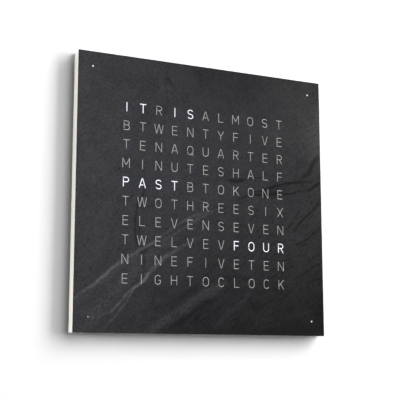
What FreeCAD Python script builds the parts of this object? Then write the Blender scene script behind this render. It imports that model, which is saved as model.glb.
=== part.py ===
import FreeCAD, Part
import math
import os
import re

import Sketcher
from FreeCAD import Placement, Rotation, Vector

# A wall clock that tells the time with lit words. X runs to the viewer's right, Y into the wall and Z up.
# The wall face is the plane y = 0, and "depth" is the distance in front of it, so depth = -y.

SIZES = {
    # Overall form
    "side": 450.0,
    "housing_depth": 16.5,
    "carrier_thick": 3.0,
    "slate_thick": 1.0,
    "edge_break": 0.4,
    # Back cover, let into the housing
    "rim": 10.0,
    "back_cover_thick": 2.0,
    "panel_gap": 0.3,
    "panel_corner": 4.0,
    # Light grid
    "columns": 11,
    "rows": 10,
    "side_margin": 68.55,
    "top_margin": 69.2,
    "grid_wall": 1.6,
    "grid_floor": 1.2,
    "grid_draft": 2.0,
    "led_window": 6.0,
    "flange_width": 3.0,
    "flange_thick": 1.5,
    # LED board behind the grid
    "board_margin": 12.0,
    "board_thick": 1.6,
    "rear_gap": 3.0,
    "led_width": 3.5,
    "led_height": 2.8,
    "led_tall": 1.6,
    "sensor_width": 1.0,
    "sensor_height": 2.0,
    "sensor_tall": 0.8,
    "sensor_gap": 0.2,
    "sensor_column": 3,
    "driver_width": 10.3,
    "driver_height": 7.5,
    "driver_tall": 2.3,
    "driver_pitch_x": 90.0,
    "driver_pitch_z": 140.0,
    # Flat ribbon between the LED board and the control board
    "ribbon_width": 12.0,
    "ribbon_thick": 0.3,
    "ribbon_bend": 3.0,
    "ribbon_plug_width": 16.0,
    "ribbon_plug_height": 5.0,
    "ribbon_plug_tall": 2.0,
    "ribbon_plug_inset": 1.8,
    "ribbon_run": 15.3,
    "ribbon_passage": 15.0,
    # Cable grooves
    "groove_width": 6.4,
    "groove_floor": 6.0,
    "groove_land": 4.7,
    "groove_corner": 8.0,
    "cable_radius": 0.9,
    "cable_bend": 5.4,
    "lane_pitch": 2.0,
    "cable_clear": 0.2,
    # Minute lights in the corners
    "minute_inset": 24.5,
    "minute_hole": 1.6,
    "well_radius": 10.5,
    "well_floor": 8.0,
    "well_clear": 0.5,
    "guide_radius": 3.0,
    "guide_fit": 0.05,
    "guide_gap": 0.4,
    "minute_plug_width": 4.0,
    "minute_plug_height": 5.0,
    "minute_plug_tall": 2.4,
    "minute_screw_offset": 7.0,
    # Cover magnets
    "magnet_inset": 7.0,
    "magnet_radius": 4.0,
    "magnet_thick": 3.0,
    "magnets_per_side": 4,
    "disc_thick": 1.2,
    "magnet_fit": 0.1,
    # Bays in the margins
    "bay_floor": 12.5,
    "bay_wall": 3.0,
    "bay_corner": 3.0,
    "bay_clear": 0.6,
    "control_bay_width": 112.0,
    "radio_bay_width": 120.0,
    # Control board
    "board_end_gap": 3.4,
    "socket_row": 13.2,
    "socket_width": 4.6,
    "socket_height": 6.0,
    "socket_pitch": 7.0,
    "socket_inset": 19.0,
    "socket_jack_gap": 5.0,
    "part_gap": 3.0,
    "processor_side": 10.0,
    "processor_tall": 1.2,
    "clock_chip_width": 6.0,
    "clock_chip_height": 5.0,
    "clock_chip_tall": 1.6,
    "crystal_radius": 1.0,
    "crystal_length": 6.0,
    "regulator_width": 6.6,
    "regulator_height": 6.1,
    "regulator_tall": 2.3,
    "capacitor_radius": 4.0,
    "capacitor_tall": 7.5,
    "cell_radius": 8.0,
    "cell_thick": 3.2,
    "cell_clear": 0.2,
    "holder_side": 18.0,
    "holder_tall": 5.0,
    "holder_base": 0.8,
    # DC inlet, its recess and the channel for the lead
    "jack_wall": 2.0,
    "jack_length": 14.0,
    "jack_height": 9.0,
    "jack_tall": 8.4,
    "jack_bore": 2.85,
    "jack_bore_length": 9.0,
    "jack_pin": 1.0,
    "jack_pin_back": 0.8,
    "recess_length": 42.0,
    "recess_height": 14.0,
    "recess_inset": 25.0,
    "channel_width": 6.0,
    "channel_floor": 6.0,
    "channel_inset": 1.0,
    # Radio receiver
    "radio_board_width": 80.0,
    "radio_board_height": 15.0,
    "rod_radius": 4.0,
    "rod_length": 60.0,
    "rod_above_board": 12.4,
    "rod_fit": 0.05,
    "coil_radius": 4.8,
    "coil_length": 18.0,
    "clip_width": 5.0,
    "clip_base": 1.0,
    "clip_wall": 1.6,
    "clip_spacing": 44.0,
    # Push buttons in the right edge
    "side_wall": 12.0,
    "button_inset": 75.0,
    "button_pitch": 14.0,
    "button_radius": 3.0,
    "button_fit": 0.08,
    "button_proud": 1.0,
    "button_travel": 0.6,
    "button_round": 0.5,
    "collar_radius": 4.4,
    "collar_thick": 1.2,
    "collar_gap": 0.2,
    "switch_side": 6.0,
    "switch_thick": 3.5,
    "plunger_radius": 1.75,
    "plunger_fit": 0.08,
    "switch_gap": 0.5,
    "plunger_inside": 1.0,
    "plunger_bore": 2.0,
    "key_board_width": 21.0,
    "key_board_height": 59.0,
    "key_bay_height": 62.0,
    # Keyhole plates
    "hanger_side_inset": 85.0,
    "hanger_top_inset": 29.0,
    "hanger_width": 60.0,
    "hanger_height": 24.0,
    "hanger_screw_offset": 23.0,
    "keyhole_radius": 4.75,
    "keyhole_slot": 2.3,
    "keyhole_drop": 4.0,
    "keyhole_rise": 5.0,
    "head_room": 6.0,
    "head_room_floor": 8.5,
    # Screws: wood screws with countersunk and pan heads
    "screw_radius": 1.5,
    "screw_head": 3.2,
    "screw_head_tall": 1.7,
    "screw_length": 10.0,
    "screw_fit": 0.05,
    "screw_clear": 0.15,
    "small_screw_radius": 1.0,
    "small_head_radius": 2.0,
    "small_head_tall": 1.3,
    "small_screw_bite": 2.5,
    "led_screw_bite": 6.0,
    "small_screw_inset": 3.5,
    "cover_screw_inset": 16.0,
    "cover_screw_corner": 45.0,
    "bay_screw_gap": 8.0,
}

# Widths, heights and places that follow from the sizes, as formulas for the document's expressions
HALF = "(side / 2)"
GRID_WIDTH = "(side - 2 * side_margin)"
GRID_HEIGHT = "(side - 2 * top_margin)"
COLUMN_PITCH = f"(({GRID_WIDTH} - grid_wall) / columns)"
ROW_PITCH = f"(({GRID_HEIGHT} - grid_wall) / rows)"
GRID_BACK = "(back_cover_thick + rear_gap + board_thick)"
GRID_TALL = f"(housing_depth - {GRID_BACK})"
FIRST_COLUMN = f"({COLUMN_PITCH} * (columns - 1) / 2)"
FIRST_ROW = f"({ROW_PITCH} * (rows - 1) / 2)"
BOARD_WIDTH = f"({GRID_WIDTH} + 2 * board_margin)"
BOARD_HEIGHT = f"({GRID_HEIGHT} + 2 * board_margin)"
BOARD_REAR = "(back_cover_thick + rear_gap)"
COVER_SIDE = "(side - 2 * rim - 2 * panel_gap)"
MINUTE = "(side / 2 - minute_inset)"
GROOVE_X = f"({MINUTE} - well_radius)"
GROOVE_Z = f"({BOARD_HEIGHT} / 2 + panel_gap + groove_land + groove_width / 2)"
BAY_INNER = f"({GROOVE_Z} - groove_width / 2)"
BAY_OUTER = "(side / 2 - rim - bay_wall)"
BAY_HEIGHT = f"({BAY_OUTER} - {BAY_INNER})"
BAY_MIDDLE = f"(({BAY_OUTER} + {BAY_INNER}) / 2)"
CONTROL_X = "(-jack_wall - control_bay_width / 2)"
CONTROL_REAR = "(bay_floor - board_thick)"
CONTROL_BOARD_WIDTH = "(control_bay_width - bay_clear - board_end_gap)"
CONTROL_BOARD_X = f"(-jack_wall - control_bay_width + bay_clear + {CONTROL_BOARD_WIDTH} / 2)"
CONTROL_BOARD_HEIGHT = f"({BAY_HEIGHT} - 2 * bay_clear)"
SOCKET_TOP = f"(-{BAY_INNER} - socket_row)"
LEFT_SOCKETS = "(socket_inset - jack_wall - control_bay_width)"
RIGHT_SOCKETS = "(-jack_length - socket_jack_gap)"
RECESS_Z = "(recess_inset - side / 2)"
CABLE_DEPTH = "(groove_floor - cable_clear - cable_radius)"
SOCKET_NEAR = f"({CABLE_DEPTH} - cable_radius)"
MAGNET = "(side / 2 - magnet_inset)"
MAGNET_STEP = f"(2 * {MAGNET} / (magnets_per_side - 1))"
BUTTON_DEPTH = "(housing_depth / 2)"
BUTTON_Z = "(button_inset - side / 2)"
WALL_INSIDE = "(side / 2 - side_wall)"
COLLAR_INSIDE = f"({WALL_INSIDE} - collar_gap - collar_thick)"
SWITCH_FRONT = f"({COLLAR_INSIDE} - button_travel - switch_gap)"
KEY_BOARD_REAR = f"({BUTTON_DEPTH} + switch_side / 2)"
KEY_BAY_FLOOR = f"({KEY_BOARD_REAR} + board_thick)"
KEY_BAY_LEFT = f"({GROOVE_X} - groove_width / 2)"
HANGER_X = "(side / 2 - hanger_side_inset)"
HANGER_Z = "(side / 2 - hanger_top_inset)"
KEYHOLE_Z = f"({HANGER_Z} - keyhole_drop)"
JACK_NEAR = f"({CONTROL_REAR} - jack_tall)"
CHANNEL_X = "(recess_length - channel_inset - channel_width / 2)"
RADIO_BOARD_Z = f"({BAY_INNER} + bay_clear + radio_board_height / 2)"
ROD_Z = f"({RADIO_BOARD_Z} + radio_board_height / 2 + rod_above_board)"
ROD_DEPTH = "(bay_floor - clip_base - rod_radius)"

doc = FreeCAD.newDocument("WordClock")
sheet = doc.addObject("Spreadsheet::Sheet", "Sizes")
for row, (name, number) in enumerate(SIZES.items(), start=1):
    sheet.set(f"A{row}", name)
    sheet.set(f"B{row}", str(number))
    sheet.setAlias(f"B{row}", name)
doc.recompute()

nodes = []  # the sub-parts that are written out, each under its Label


# Formulas and bindings


def formula(text):
    """The text as an expression, with each size's name pointing at its cell."""
    return re.sub(r"[a-z][a-z_]*", lambda word: "Sizes." * (word.group() in SIZES) + word.group(), text)


def value(text):
    """The number that a formula gives with the sheet's sizes."""
    return float(sheet.evalExpression(formula(text)))


def bind(item, **formulas):
    for target, text in formulas.items():
        item.setExpression(target, formula(text))


def place(item, x="0", depth="0", z="0"):
    """Puts an item's own origin at x and z, at a depth in front of the wall."""
    for axis, text in (("x", x), ("y", f"-({depth})"), ("z", z)):
        item.setExpression(f"Placement.Base.{axis}", formula(text))


def keep(item, label):
    item.Label = label
    nodes.append(item)
    return item


# Sketches


def new_body(label, separate_solids=False):
    body = doc.addObject("PartDesign::Body", label)
    body.AllowCompound = separate_solids
    return keep(body, label)


def new_sketch(body, name, depth="0", plane="XZ_Plane"):
    """A sketch on the body's own plane, moved along its normal. On XZ_Plane that is away from the wall."""
    sketch = body.newObject("Sketcher::SketchObject", name)
    base = next(item for item in body.Origin.OriginFeatures if item.Role == plane)
    sketch.AttachmentSupport = [(base, "")]
    sketch.MapMode = "FlatFace"
    sketch.setExpression("AttachmentOffset.Base.z", formula(depth))
    return sketch


def constrain(sketch, *constraints):
    """Adds constraints. One that ends in a formula is bound to it."""
    for *parts, text in constraints:
        if text is None:
            sketch.addConstraint(Sketcher.Constraint(*parts))
            continue
        index = sketch.addConstraint(Sketcher.Constraint(*parts, value(text)))
        sketch.setExpression(f"Constraints[{index}]", formula(text))


def polygon(sketch, corners):
    """A closed outline of straight lines, with every corner placed from the sketch's origin."""
    first, count = sketch.GeometryCount, len(corners)
    points = [Vector(value(x), value(z), 0) for x, z in corners]
    for start, end in zip(points, points[1:] + points[:1]):
        sketch.addGeometry(Part.LineSegment(start, end), False)
    for number, (x, z) in enumerate(corners):
        index = first + number
        constrain(
            sketch,
            ("Coincident", index, 2, first + (number + 1) % count, 1, None),
            ("DistanceX", -1, 1, index, 1, x),
            ("DistanceY", -1, 1, index, 1, z),
        )


def rectangle(sketch, x, z, width, height):
    left, right = f"{x} - {width} / 2", f"{x} + {width} / 2"
    low, high = f"{z} - {height} / 2", f"{z} + {height} / 2"
    polygon(sketch, [(left, low), (right, low), (right, high), (left, high)])


def circle(sketch, x, z, radius):
    ring = Part.Circle(Vector(value(x), value(z), 0), Vector(0, 0, 1), value(radius))
    index = sketch.addGeometry(ring, False)
    constrain(
        sketch,
        ("DistanceX", -1, 1, index, 3, x),
        ("DistanceY", -1, 1, index, 3, z),
        ("Radius", index, radius),
    )


def line(sketch, x, z, to_x, to_z):
    return sketch.addGeometry(Part.LineSegment(Vector(x, z, 0), Vector(to_x, to_z, 0)), False)


def arc(sketch, x, z, radius, start, end):
    ring = Part.Circle(Vector(x, z, 0), Vector(0, 0, 1), radius)
    return sketch.addGeometry(Part.ArcOfCircle(ring, math.radians(start), math.radians(end)), False)


def rounded_rectangle(sketch, x, z, width, height, radius):
    """A rectangle about (x, z) whose corners are arcs."""
    left, right = value(f"{x} - {width} / 2"), value(f"{x} + {width} / 2")
    low, high = value(f"{z} - {height} / 2"), value(f"{z} + {height} / 2")
    round_by = value(radius)
    inner_left, inner_right = left + round_by, right - round_by
    inner_low, inner_high = low + round_by, high - round_by
    bottom = line(sketch, inner_left, low, inner_right, low)
    arc(sketch, inner_right, inner_low, round_by, 270, 360)
    line(sketch, right, inner_low, right, inner_high)
    arc(sketch, inner_right, inner_high, round_by, 0, 90)
    line(sketch, inner_right, high, inner_left, high)
    arc(sketch, inner_left, inner_high, round_by, 90, 180)
    line(sketch, left, inner_high, left, inner_low)
    arc(sketch, inner_left, inner_low, round_by, 180, 270)
    for step in range(8):
        constrain(sketch, ("Tangent", bottom + step, 2, bottom + (step + 1) % 8, 1, None))
    for step in (3, 5, 7):
        constrain(sketch, ("Equal", bottom + 1, bottom + step, None))
    constrain(
        sketch,
        ("Horizontal", bottom, None),
        ("Vertical", bottom + 2, None),
        ("Horizontal", bottom + 4, None),
        ("Vertical", bottom + 6, None),
        ("Radius", bottom + 1, radius),
        ("DistanceX", -1, 1, bottom + 6, 1, f"{x} - {width} / 2"),
        ("DistanceY", -1, 1, bottom, 1, f"{z} - {height} / 2"),
        ("DistanceX", -1, 1, bottom + 2, 1, f"{x} + {width} / 2"),
        ("DistanceY", -1, 1, bottom + 4, 1, f"{z} + {height} / 2"),
    )


def upright_slot(sketch, x, low, high, radius):
    """A slot that runs up from one arc's centre to the other's."""
    middle, bottom, top, round_by = value(x), value(low), value(high), value(radius)
    cap = arc(sketch, middle, top, round_by, 0, 180)
    line(sketch, middle - round_by, top, middle - round_by, bottom)
    arc(sketch, middle, bottom, round_by, 180, 360)
    line(sketch, middle + round_by, bottom, middle + round_by, top)
    for step in range(4):
        constrain(sketch, ("Tangent", cap + step, 2, cap + (step + 1) % 4, 1, None))
    constrain(
        sketch,
        ("Vertical", cap + 1, None),
        ("Radius", cap, radius),
        ("DistanceX", -1, 1, cap, 3, x),
        ("DistanceY", -1, 1, cap, 3, high),
        ("DistanceY", -1, 1, cap + 2, 3, low),
    )


# Features


def pad(body, sketch, length):
    """Adds material from the sketch along its normal."""
    feature = body.newObject("PartDesign::Pad", f"{sketch.Name}_pad")
    feature.Profile = sketch
    bind(feature, Length=length)
    return feature


def pocket(body, sketch, length):
    """Takes material away from the sketch against its normal, which on XZ_Plane is towards the wall."""
    feature = body.newObject("PartDesign::Pocket", f"{sketch.Name}_pocket")
    feature.Profile = sketch
    bind(feature, Length=length)
    return feature


def cut_from_back(body, name, floor):
    """A sketch at a pocket's floor, and the pocket from there to the wall face."""
    sketch = new_sketch(body, name, floor)
    return sketch, pocket(body, sketch, floor)


def holes(body, name, floor, length, spots, radius):
    """Round holes at the spots, from a depth towards the wall."""
    sketch = new_sketch(body, name, floor)
    for x, z in spots:
        circle(sketch, x, z, radius)
    return pocket(body, sketch, length)


def box(label, x, z, near, width, height, thick, export=True):
    """A block centred on x and z. Its face towards the wall lies at the depth near."""
    item = doc.addObject("Part::Box", label)
    bind(item, Length=width, Width=thick, Height=height)
    place(item, f"{x} - {width} / 2", f"{near} + {thick}", f"{z} - {height} / 2")
    return keep(item, label) if export else item


def rod(label, x, z, near, radius, length, export=True):
    """A cylinder square to the wall. Its end towards the wall lies at the depth near."""
    item = doc.addObject("Part::Cylinder", label)
    item.Placement = Placement(Vector(), Rotation(Vector(1, 0, 0), 90))
    bind(item, Radius=radius, Height=length)
    place(item, x, near, z)
    return keep(item, label) if export else item


def side_rod(label, left, z, depth, radius, length, export=True):
    """A cylinder along X that starts at left."""
    item = doc.addObject("Part::Cylinder", label)
    item.Placement = Placement(Vector(), Rotation(Vector(0, 1, 0), 90))
    bind(item, Radius=radius, Height=length)
    place(item, left, depth, z)
    return keep(item, label) if export else item


def cut(label, base, tool, export=True):
    item = doc.addObject("Part::Cut", label)
    item.Base, item.Tool = base, tool
    return keep(item, label) if export else item


def group(label, one, spots):
    """One node of separate solids: the same piece at each spot, given as x, depth and z."""
    copies = []
    for number, (x, depth, z) in enumerate(spots):
        copy = doc.addObject("App::Link", f"{label}_{number}")
        copy.LinkedObject = one
        copy.LinkTransform = True
        place(copy, x, depth, z)
        copies.append(copy)
    item = doc.addObject("Part::Compound", label)
    item.Links = copies
    return keep(item, label)


def at_depth(spots, depth):
    return [(x, depth, z) for x, z in spots]


def four_corners(x, z):
    return [(sx + x, sz + z) for sx in ("-", "") for sz in ("-", "")]


# Spots that more than one piece shares

MINUTE_SPOTS = four_corners(MINUTE, MINUTE)
MINUTE_SCREW_SPOTS = [
    (x, f"{z} {sign} minute_screw_offset") for x, z in MINUTE_SPOTS for sign in "+-"
]
MAGNET_SPOTS = []
for step in range(SIZES["magnets_per_side"] - 1):
    along = f"({MAGNET} - {step} * {MAGNET_STEP})"
    MAGNET_SPOTS += [(along, MAGNET), (MAGNET, f"-{along}")]
    MAGNET_SPOTS += [(f"-{along}", f"-{MAGNET}"), (f"-{MAGNET}", along)]

COVER_SCREW_EDGE = "(side / 2 - cover_screw_inset)"
BY_RADIO_BAY = f"((radio_bay_width / 2 + {HANGER_X} - hanger_width / 2) / 2)"
BY_CONTROL_BAY = "(jack_wall + control_bay_width + bay_screw_gap)"
COVER_SCREW_SPOTS = (
    four_corners("(side / 2 - cover_screw_corner)", COVER_SCREW_EDGE)
    + four_corners(COVER_SCREW_EDGE, "(side / 8)")
    + [(f"{sign}{BY_RADIO_BAY}", COVER_SCREW_EDGE) for sign in ("-", "")]
    + [(f"{sign}{BY_CONTROL_BAY}", f"-{COVER_SCREW_EDGE}") for sign in ("-", "")]
)
LED_SCREW_EDGE_X = f"({BOARD_WIDTH} / 2 - board_margin / 3)"
LED_SCREW_EDGE_Z = f"({BOARD_HEIGHT} / 2 - board_margin / 3)"
LED_SCREW_SPOTS = four_corners(LED_SCREW_EDGE_X, f"({BOARD_HEIGHT} / 4)") + four_corners(
    f"({BOARD_WIDTH} / 4)", LED_SCREW_EDGE_Z
)
HANGER_SIDES = {"left": f"-{HANGER_X}", "right": HANGER_X}
HANGER_SCREW_SPOTS = [
    (f"{x} {sign} hanger_screw_offset", HANGER_Z) for x in HANGER_SIDES.values() for sign in "+-"
]
CONTROL_SCREW_SPOTS = [
    (
        f"{CONTROL_BOARD_X} {sx} ({CONTROL_BOARD_WIDTH} / 2 - small_screw_inset)",
        f"-{BAY_MIDDLE} {sz} ({CONTROL_BOARD_HEIGHT} / 2 - small_screw_inset)",
    )
    for sx in "+-"
    for sz in "+-"
]
RADIO_SCREW_SPOTS = [
    (f"{sign}(radio_board_width / 2 - small_screw_inset)", f"{RADIO_BOARD_Z} + small_screw_inset")
    for sign in ("-", "")
]
KEYS_UPWARDS = ("mode", "light", "minute", "hour")
KEY_SPOTS = {
    name: f"({BUTTON_Z} + ({number} - {len(KEYS_UPWARDS) - 1} / 2) * button_pitch)"
    for number, name in enumerate(KEYS_UPWARDS)
}
KEY_BOARD_X = f"({SWITCH_FRONT} - key_board_width / 2)"
KEY_SCREW_SPOTS = [(KEY_BOARD_X, f"{BUTTON_Z} {sign} button_pitch") for sign in "+-"]


# Housing and wall fixing


def make_housing():
    body = new_body("housing")
    outline = new_sketch(body, "housing_outline")
    rectangle(outline, "0", "0", "side", "side")
    block = pad(body, outline, "housing_depth")
    doc.recompute()
    break_rear_edges(body, block)
    open_window(body)
    cut_bays(body)
    cut_grooves(body)
    cut_wells(body)
    cut_hanger_rooms(body)
    holes(body, "magnet_seats", "housing_depth", "magnet_thick", MAGNET_SPOTS, "magnet_radius + magnet_fit")
    drill_screw_holes(body)
    drill_button_bores(body)


def break_rear_edges(body, block):
    """Chamfers the edges round the wall face and the four edges that run from it to the front."""
    corner = value(HALF)

    def outer(edge):
        ends = [vertex.Point for vertex in edge.Vertexes]
        square_to_wall = abs(ends[0].y - ends[1].y) > corner / 100
        return square_to_wall or all(abs(point.y) < value("edge_break") for point in ends)

    chamfer = body.newObject("PartDesign::Chamfer", "housing_edges")
    chamfer.Base = (block, [f"Edge{n}" for n, edge in enumerate(block.Shape.Edges, start=1) if outer(edge)])
    bind(chamfer, Size="edge_break")
    doc.recompute()


def open_window(body):
    """The through window for the light grid, with steps for its flange, the LED board and the back cover."""
    window = new_sketch(body, "grid_window", "housing_depth")
    rectangle(window, "0", "0", f"({GRID_WIDTH} + 2 * panel_gap)", f"({GRID_HEIGHT} + 2 * panel_gap)")
    pocket(body, window, "housing_depth")
    step, _ = cut_from_back(body, "flange_step", f"({GRID_BACK} + flange_thick)")
    spread = "2 * (flange_width + panel_gap)"
    rectangle(step, "0", "0", f"({GRID_WIDTH} + {spread})", f"({GRID_HEIGHT} + {spread})")
    step, _ = cut_from_back(body, "board_step", GRID_BACK)
    rectangle(step, "0", "0", f"({BOARD_WIDTH} + 2 * panel_gap)", f"({BOARD_HEIGHT} + 2 * panel_gap)")
    step, _ = cut_from_back(body, "cover_step", "back_cover_thick")
    rounded_rectangle(step, "0", "0", "(side - 2 * rim)", "(side - 2 * rim)", "(panel_corner + panel_gap)")


def cut_bays(body):
    """Bays for the control board, the DC plug, the radio receiver and the keys, and the ribbon's passage."""
    bay, _ = cut_from_back(body, "control_bay", "bay_floor")
    rounded_rectangle(bay, CONTROL_X, f"-{BAY_MIDDLE}", "control_bay_width", BAY_HEIGHT, "bay_corner")
    bay, _ = cut_from_back(body, "plug_recess", "bay_floor")
    rounded_rectangle(bay, "(recess_length / 2)", RECESS_Z, "recess_length", "recess_height", "bay_corner")
    doorway, _ = cut_from_back(body, "jack_doorway", f"({CONTROL_REAR} + panel_gap)")
    rectangle(doorway, "0", RECESS_Z, "(2 * (jack_wall + bay_corner))", "(jack_height + 2 * panel_gap)")
    channel, _ = cut_from_back(body, "lead_channel", "channel_floor")
    low, high = f"(-{HALF} - edge_break)", RECESS_Z
    rectangle(channel, CHANNEL_X, f"(({low} + {high}) / 2)", "channel_width", f"({high} - {low})")
    bay, _ = cut_from_back(body, "radio_bay", "bay_floor")
    rounded_rectangle(bay, "0", BAY_MIDDLE, "radio_bay_width", BAY_HEIGHT, "bay_corner")
    bay, _ = cut_from_back(body, "key_bay", KEY_BAY_FLOOR)
    middle, width = f"(({KEY_BAY_LEFT} + {WALL_INSIDE}) / 2)", f"({WALL_INSIDE} - {KEY_BAY_LEFT})"
    rounded_rectangle(bay, middle, BUTTON_Z, width, "key_bay_height", "bay_corner")
    passage, _ = cut_from_back(body, "ribbon_passage", CONTROL_REAR)
    rectangle(passage, CONTROL_X, f"-{BAY_INNER}", "ribbon_passage", "(2 * groove_land + 2 * panel_gap)")


def cut_grooves(body):
    """A ring of groove round the LED board for the cables, with upright runs that reach the corner wells."""
    ring, _ = cut_from_back(body, "cable_ring", "groove_floor")
    wide, narrow = f"(2 * {GROOVE_X} + groove_width)", f"(2 * {GROOVE_X} - groove_width)"
    tall, short = f"(2 * {GROOVE_Z} + groove_width)", f"(2 * {GROOVE_Z} - groove_width)"
    rounded_rectangle(ring, "0", "0", wide, tall, "bay_corner")
    rounded_rectangle(ring, "0", "0", narrow, short, "groove_corner")
    runs, _ = cut_from_back(body, "corner_runs", "groove_floor")
    for x in (GROOVE_X, f"-{GROOVE_X}"):
        rectangle(runs, x, "0", "groove_width", f"(2 * {MINUTE})")


def cut_wells(body):
    """A well for each minute light board, and a bore through to the front for its light guide."""
    holes(body, "minute_wells", "well_floor", "well_floor", MINUTE_SPOTS, "well_radius")
    holes(body, "guide_bores", "housing_depth", "housing_depth", MINUTE_SPOTS, "guide_radius + guide_fit")


def cut_hanger_rooms(body):
    """Room behind each keyhole for the head of the wall screw."""
    rooms, _ = cut_from_back(body, "head_rooms", "head_room_floor")
    for x in HANGER_SIDES.values():
        upright_slot(rooms, x, KEYHOLE_Z, f"({HANGER_Z} + keyhole_rise)", "head_room")


def drill_screw_holes(body):
    pilot, small_pilot = "screw_radius + screw_fit", "small_screw_radius + screw_fit"
    holes(body, "cover_pilots", "screw_length", "screw_length", COVER_SCREW_SPOTS, pilot)
    holes(body, "hanger_pilots", "screw_length", "screw_length", HANGER_SCREW_SPOTS, pilot)
    bite = "led_screw_bite"
    holes(body, "led_board_pilots", f"({GRID_BACK} + {bite})", bite, LED_SCREW_SPOTS, pilot)
    bite = "small_screw_bite"
    holes(body, "control_pilots", f"(bay_floor + {bite})", bite, CONTROL_SCREW_SPOTS, small_pilot)
    holes(body, "radio_pilots", f"(bay_floor + {bite})", bite, RADIO_SCREW_SPOTS, small_pilot)
    holes(body, "key_pilots", f"({KEY_BAY_FLOOR} + {bite})", bite, KEY_SCREW_SPOTS, small_pilot)
    holes(body, "minute_pilots", f"(well_floor + {bite})", bite, MINUTE_SCREW_SPOTS, small_pilot)


def drill_button_bores(body):
    """Bores along X through the right wall, for the buttons."""
    bores = new_sketch(body, "button_bores", HALF, "YZ_Plane")
    for z in KEY_SPOTS.values():
        circle(bores, f"-{BUTTON_DEPTH}", z, "button_radius + button_fit")
    pocket(body, bores, "side_wall")


def make_back_cover():
    body = new_body("back_cover")
    outline = new_sketch(body, "back_cover_outline")
    rounded_rectangle(outline, "0", "0", COVER_SIDE, COVER_SIDE, "panel_corner")
    pad(body, outline, "back_cover_thick")
    windows = new_sketch(body, "hanger_windows", "back_cover_thick")
    for x in HANGER_SIDES.values():
        size = "(hanger_width + 2 * panel_gap)", "(hanger_height + 2 * panel_gap)"
        rounded_rectangle(windows, x, HANGER_Z, *size, "(panel_corner + panel_gap)")
    pocket(body, windows, "back_cover_thick")
    recess = new_sketch(body, "plug_window", "back_cover_thick")
    rounded_rectangle(recess, "(recess_length / 2)", RECESS_Z, "recess_length", "recess_height", "bay_corner")
    pocket(body, recess, "back_cover_thick")
    notch = new_sketch(body, "lead_notch", "back_cover_thick")
    low, high = f"-{HALF}", RECESS_Z
    rectangle(notch, CHANNEL_X, f"(({low} + {high}) / 2)", "channel_width", f"({high} - ({low}))")
    pocket(body, notch, "back_cover_thick")
    doc.recompute()
    countersink(body, "back_cover_holes", COVER_SCREW_SPOTS)


def countersink(body, name, spots):
    """Through holes for countersunk screws, open towards the wall."""
    sketch = new_sketch(body, name)
    for x, z in spots:
        circle(sketch, x, z, "screw_radius")
    doc.recompute()
    feature = body.newObject("PartDesign::Hole", f"{name}_hole")
    feature.Profile = sketch
    feature.Reversed = True
    feature.DepthType = "ThroughAll"
    bind(feature, Diameter="2 * (screw_radius + screw_clear)")
    feature.HoleCutType = "Countersink"
    feature.HoleCutCustomValues = True
    bind(feature, HoleCutDiameter="2 * (screw_head + screw_clear)")
    feature.HoleCutCountersinkAngle = 90
    body.Tip = feature


def make_hanger_plate(side, x):
    body = new_body(f"hanger_plate_{side}")
    outline = new_sketch(body, f"plate_outline_{side}")
    rounded_rectangle(outline, x, HANGER_Z, "hanger_width", "hanger_height", "panel_corner")
    pad(body, outline, "back_cover_thick")
    entry = new_sketch(body, f"keyhole_entry_{side}", "back_cover_thick")
    circle(entry, x, KEYHOLE_Z, "keyhole_radius")
    pocket(body, entry, "back_cover_thick")
    slot = new_sketch(body, f"keyhole_slot_{side}", "back_cover_thick")
    upright_slot(slot, x, KEYHOLE_Z, f"({HANGER_Z} + keyhole_rise)", "keyhole_slot")
    pocket(body, slot, "back_cover_thick")
    doc.recompute()
    screw_spots = [(f"{x} {sign} hanger_screw_offset", HANGER_Z) for sign in "+-"]
    countersink(body, f"plate_holes_{side}", screw_spots)


# Screws


def countersunk_screw(label):
    """A screw whose head starts flush with the wall face."""
    head = doc.addObject("Part::Cone", f"{label}_head")
    head.Placement = Placement(Vector(), Rotation(Vector(1, 0, 0), 90))
    bind(head, Radius1="screw_head", Radius2="screw_radius", Height="screw_head_tall")
    shank = rod(f"{label}_shank", "0", "0", "0", "screw_radius", "screw_length", export=False)
    screw = doc.addObject("Part::Fuse", label)
    screw.Base, screw.Tool = head, shank
    return screw


def pan_screw(label, radius, head_radius, head_tall, under_head):
    """A screw whose head stands on a board at depth 0, towards the wall."""
    head = rod(f"{label}_head", "0", "0", f"(-{head_tall})", head_radius, head_tall, export=False)
    shank = rod(f"{label}_shank", "0", "0", "0", radius, under_head, export=False)
    screw = doc.addObject("Part::Fuse", label)
    screw.Base, screw.Tool = head, shank
    return screw


def make_screws():
    countersunk = countersunk_screw("countersunk_screw")
    group("back_cover_screws", countersunk, at_depth(COVER_SCREW_SPOTS, "0"))
    group("hanger_screws", countersunk, at_depth(HANGER_SCREW_SPOTS, "0"))
    led_screw = pan_screw(
        "led_screw", "screw_radius", "screw_head", "screw_head_tall", "(board_thick + led_screw_bite)"
    )
    group("led_board_screws", led_screw, at_depth(LED_SCREW_SPOTS, BOARD_REAR))
    small = pan_screw(
        "small_screw",
        "small_screw_radius",
        "small_head_radius",
        "small_head_tall",
        "(board_thick + small_screw_bite)",
    )
    group("control_board_screws", small, at_depth(CONTROL_SCREW_SPOTS, CONTROL_REAR))
    group("radio_board_screws", small, at_depth(RADIO_SCREW_SPOTS, CONTROL_REAR))
    group("key_board_screws", small, at_depth(KEY_SCREW_SPOTS, KEY_BOARD_REAR))
    group("minute_board_screws", small, at_depth(MINUTE_SCREW_SPOTS, "(well_floor - board_thick)"))


# Front cover


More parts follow.
